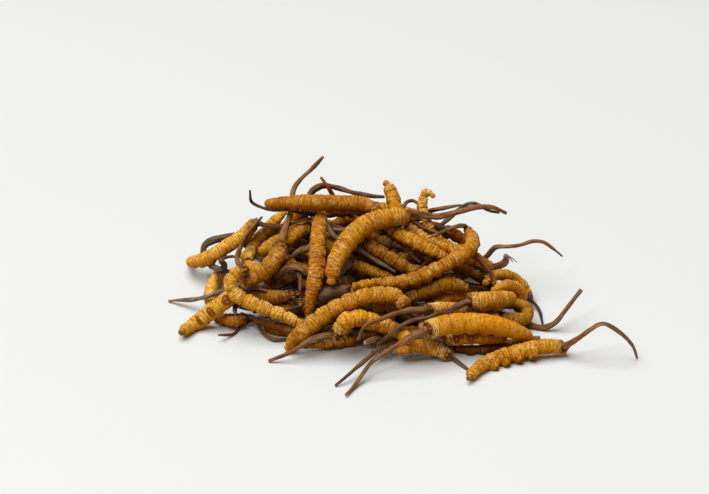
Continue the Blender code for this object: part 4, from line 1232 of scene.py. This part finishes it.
# %% Grow the specimens
SEEN_POINTS = 34  # points around a specimen that is well in sight
OTHER_POINTS = 26  # and around one of the others
IN_SIGHT = (1, 2, 3, 15, 18, 19, 21, 22, 24, 42, 46, 47, 48, 49, 50, 51)
ROUGHNESS_SHOWS = {
    # input: (millimetres on a smooth specimen, what full roughness adds)
    "Fold Depth": (0.15, 0.42),  # times the distance between two folds
    "Groove Depth": (0.10, 1.0),
    "Swell": (-0.04, 1.2),
    "Lumps": (0.0, 1.8),
    "Crumples": (0.12, 0.8),
}
LOBE = 0.55  # millimetres that the prolegs stand out
LOBES = {21: 0.3, 50: 0.5, 51: 1.3}  # where it's different


def finished_mesh(holder):
    """An object's final shape as a plain mesh, without the object."""
    bpy.context.scene.collection.objects.link(holder)
    bpy.context.view_layer.update()
    seen = holder.evaluated_get(bpy.context.evaluated_depsgraph_get())
    mesh = bpy.data.meshes.new_from_object(seen)
    bpy.data.objects.remove(holder)
    return mesh


def grow(line, looks, number, points_around):
    """One specimen's mesh, from its fine line."""
    skin, stalk, _, spacing, roughness, pale = looks
    wishes = {name: least + more * roughness for name, (least, more) in ROUGHNESS_SHOWS.items()}
    wishes["Fold Depth"] *= spacing
    wishes |= {"Heap": heap_object, "Points Around": points_around, "Seed": float(number),
               "Lobes": LOBES.get(number, LOBE), "Stalk": stalks[stalk],
               "Skin": skin_for(skin, pale, number in LEG_DOTTED)}
    holder = bpy.data.objects.new("line", line_mesh("line", line))
    modifier = holder.modifiers.new("grow", "NODES")
    modifier.node_group = specimen_tree
    for item in specimen_tree.interface.items_tree:
        if item.name in wishes:
            modifier[item.identifier] = wishes[item.name]
    return finished_mesh(holder)


def placed(name, mesh):
    """A specimen of the heap that shows a finished mesh."""
    specimen = bpy.data.objects.new(name, mesh)
    bpy.context.scene.collection.objects.link(specimen)
    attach(specimen, "root")
    return specimen


def triangles_of(things):
    """How many triangles the faces of some objects make."""
    return sum(len(face.vertices) - 2 for thing in things for face in thing.data.polygons)


specimens = []
for name, line in fine_lines.items():
    number = int(name.split("_")[1])
    points_around = SEEN_POINTS if number in IN_SIGHT else OTHER_POINTS
    specimen = placed(f"specimen_{number:02d}", grow(line, LOOKS[number], number, points_around))
    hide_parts(name)
    specimens.append(specimen)
print("triangles of the packed specimens:", triangles_of(specimens))

# %% [markdown]
# Behind the gaps of the heap lie more specimens, of which the light reaches only pieces. They
# could fall into place in a simulation, or be set by hand, but both are much work for so little
# of them in sight. So each one is laid level in a random place, at the lowest height at which it
# touches nothing, where it rests on the table or on what lies there. It stays if the heap hides
# it from most sides.

# %% Where one more specimen fits
INNER_AREA = Vector((54, 34)) * MM  # half the sizes of the area where they are tried
MOST_BEND = 1.6  # radians from tail to tip
CLEAR = 0.15 * MM  # space that is left between two of them
BODY_SHAPE = (0.45, 0.8, 0.95, 1.0, 1.0, 0.97, 0.9, 0.75)  # shares of its radius, tail first
STALK_SHAPE = (0.34, 0.32, 0.30, 0.26)  # shares of the body's radius
INNER_SHAPE = np.array(BODY_SHAPE + STALK_SHAPE)
SIDE_SIGHTS = [Vector(sight(k * math.pi / 4, rise)) for k in range(8) for rise in (0.35, 0.9)]
print("lines of sight from an inner point:", len(SIDE_SIGHTS))


def arc_points(middle, heading, bend, length, count):
    """Level points along an arc."""
    angles = heading + bend * (np.arange(count) / (count - 1) - 0.5)
    steps = np.stack([np.cos(angles), np.sin(angles)], 1) * length / (count - 1)
    points = np.cumsum(steps, axis=0)
    return points - points.mean(axis=0) + middle


def lowest_height(points, radii, taken, taken_radii):
    """The lowest height at which level points keep clear of all that lies there already."""
    blocked = []
    for point, radius in zip(points, radii):
        reach = taken_radii + radius + CLEAR
        away = np.linalg.norm(taken[:, :2] - point, axis=1)
        near = away < reach
        spread = np.sqrt(reach[near] ** 2 - away[near] ** 2)
        blocked.extend(zip(taken[near, 2] - spread, taken[near, 2] + spread))
    height = radii.max()
    for low, high in sorted(blocked):
        if low > height:
            break
        height = max(height, high)
    return height


def hidden_share(point):
    """The share of the lines of sight from a point that meet the heap."""
    return np.mean([heap.ray_cast(Vector(point), way)[0] is not None for way in SIDE_SIGHTS])


def sampled(middles, radii):
    """Points every millimetre along a line, each with its radius, as rows of four numbers."""
    run = length_along(middles)
    marks = np.arange(0, run[-1], MM)
    return np.column_stack([through(middles, marks), np.interp(marks, run, radii)])


def laid(middle, heading, bend, length, shape, taken):
    """The line of a level specimen that rests on what lies there already, and its shape."""
    level = arc_points(middle, heading, bend, length, len(shape))
    height = lowest_height(level, shape, taken[:, :3], taken[:, 3])
    return np.column_stack([level, np.full(len(level), height)]), shape


def try_inner(rng, taken, hidden, thin, thick, short, long):
    """The line and the shape of one more specimen, or None if it would show too much."""
    shape = INNER_SHAPE * rng.uniform(thin, thick) * MM
    length = rng.uniform(short, long) * MM
    middle = rng.uniform(-1, 1, 2) * INNER_AREA[:]
    heading = rng.uniform(0, math.tau)
    bend = rng.uniform(-MOST_BEND, MOST_BEND)
    points, shape = laid(middle, heading, bend, length, shape, taken)
    if min(hidden_share(point) for point in points) < hidden:
        return None
    return points, shape


# %% [markdown]
# The largest ones come first, and smaller ones then fill what is left. Chance knows nothing of
# the photograph, so it is corrected twice. One place that it found is left out, because the piece
# would show in front of the heap. One piece is added at the front, in a gap through which only
# the table would show.

# %% Specimens deep in the heap
INNER_ROUNDS = (
    # (most specimens, tries, hidden share, least and most radius and length in mm)
    (24, 1200, 0.55, 1.9, 2.6, 34, 52),
    (20, 1600, 0.55, 1.4, 2.0, 16, 28),
    (16, 1600, 0.40, 1.5, 2.1, 14, 24),
)
INNER_SEED = 5
LEFT_OUT = (53,)  # numbers of found places
FRONT_PIECES = [((-1.5, -24.5), 0.35, 0.3, 16, 1.5)]  # place, heading, bend, length, radius
# mostly the dark skin: painted shade for specimens deep in the heap
INNER_LOOKS = [("dark", "umber"), ("dark", "black"), ("russet", "umber"), ("dark", "brown")]
INNER_REST = (DOWN, 1.0, 0.2, 0.2)  # belly, ring spacing, roughness, pale neck
INNER_NUMBERS = 100  # added to their numbers, so that no list above means them
INNER_POINTS = 16

taken = np.concatenate([sampled(middles, radii) for middles, radii, _ in lines.values()])
rng = np.random.default_rng(INNER_SEED)
pieces = []
for most, tries, *limits in INNER_ROUNDS:
    full = len(pieces) + most
    for _ in range(tries):
        found = try_inner(rng, taken, *limits) if len(pieces) < full else None
        if found is not None:
            pieces.append(found)
            taken = np.concatenate([taken, sampled(*found)])
for place, heading, bend, length, radius in FRONT_PIECES:
    shape = INNER_SHAPE * radius * MM
    pieces.append(laid(np.array(place) * MM, heading, bend, length * MM, shape, taken))
    taken = np.concatenate([taken, sampled(*pieces[-1])])

inner = []
for number, (points, shape) in enumerate(pieces, 1):
    if number in LEFT_OUT:
        continue
    ends = [2 * points[0] - points[1], 2 * points[-1] - points[-2]]
    middles = np.concatenate([ends[:1], points, ends[1:]])
    radii = np.concatenate([[0], shape, [0]])
    looks = (*INNER_LOOKS[(number - 1) % len(INNER_LOOKS)], *INNER_REST)
    line = fine_line(middles, radii, len(BODY_SHAPE), looks, INNER_NUMBERS + number)
    mesh = grow(line, looks, INNER_NUMBERS + number, INNER_POINTS)
    inner.append(placed(f"inner_{number:02d}", mesh))
bpy.data.objects.remove(heap_object)
print("specimens deep in the heap:", len(inner), "with triangles:", triangles_of(inner))

# %% [markdown]
# Two specimens keep a few loose fibres: pale straws at the curled tip of one stalk, and a tangle
# of thin roots that hangs from the underside of a cut one down to the table. A hair system makes
# thousands of such, but for eight of them a bevelled curve with six points each is simpler.

# %% Loose fibres
FIBRES = {
    # name: (ways, length, least and most radius in mm, colour, roughness, seed)
    "straws": ([(0.8, -0.3, -0.5), (0.95, -0.2, -0.25)],
               4.8, 0.2, 0.3, (0.60, 0.40, 0.20), 0.7, 1),
    "root_tangle": ([(0.1, -0.6, -0.7), (0.5, -0.5, -0.6), (-0.3, -0.5, -0.6),
                     (0.8, -0.3, -0.4), (0.3, -0.8, -0.4), (0.6, -0.7, -0.2)],
                    6.0, 0.28, 0.46, (0.15, 0.09, 0.055), 0.8, 2),
}
FIBRE_PIECES = 5  # straight pieces of a fibre
FIBRE_BEND = 0.35  # of its length, that its tip turns away at most
FIBRE_TAPER = 0.5  # share of its width that it loses
BELOW_THE_CUT = np.array([0, 0, 0.9]) * MM


def add_fibres(name, start):
    """Thin bent fibres that leave one point, each roughly in its own direction."""
    ways, length, thin, thick, color, roughness, seed = FIBRES[name]
    rng = np.random.default_rng(seed)
    curve = bpy.data.curves.new(name, "CURVE")
    curve.dimensions = "3D"
    curve.bevel_depth = MM
    curve.bevel_resolution = 1
    curve.use_fill_caps = True
    for way in ways:
        reach = length * MM * rng.uniform(0.7, 1.1)
        radius = rng.uniform(thin, thick)
        bend = rng.uniform(-FIBRE_BEND, FIBRE_BEND, 3)
        line = curve.splines.new("POLY")
        line.points.add(FIBRE_PIECES)
        for k, point in enumerate(line.points):
            share = k / FIBRE_PIECES
            place = start + (np.array(way) * share + bend * share ** 2) * reach
            place[2] = max(place[2], radius * MM)
            point.co = (*place, 1)
            point.radius = radius * (1 - FIBRE_TAPER * share)
    mesh = finished_mesh(bpy.data.objects.new(name, curve))
    mesh.materials.clear()
    mesh.materials.append(plain_material(name + "_color", color, roughness))
    return placed(name, mesh)


curled_tip = lines["cordyceps_39"][0][-2]
cut_end = lines["cordyceps_54"][0][-3] - BELOW_THE_CUT
fibres = [add_fibres("straws", curled_tip), add_fibres("root_tangle", cut_end)]
print("loose fibres, with triangles:", triangles_of(fibres))
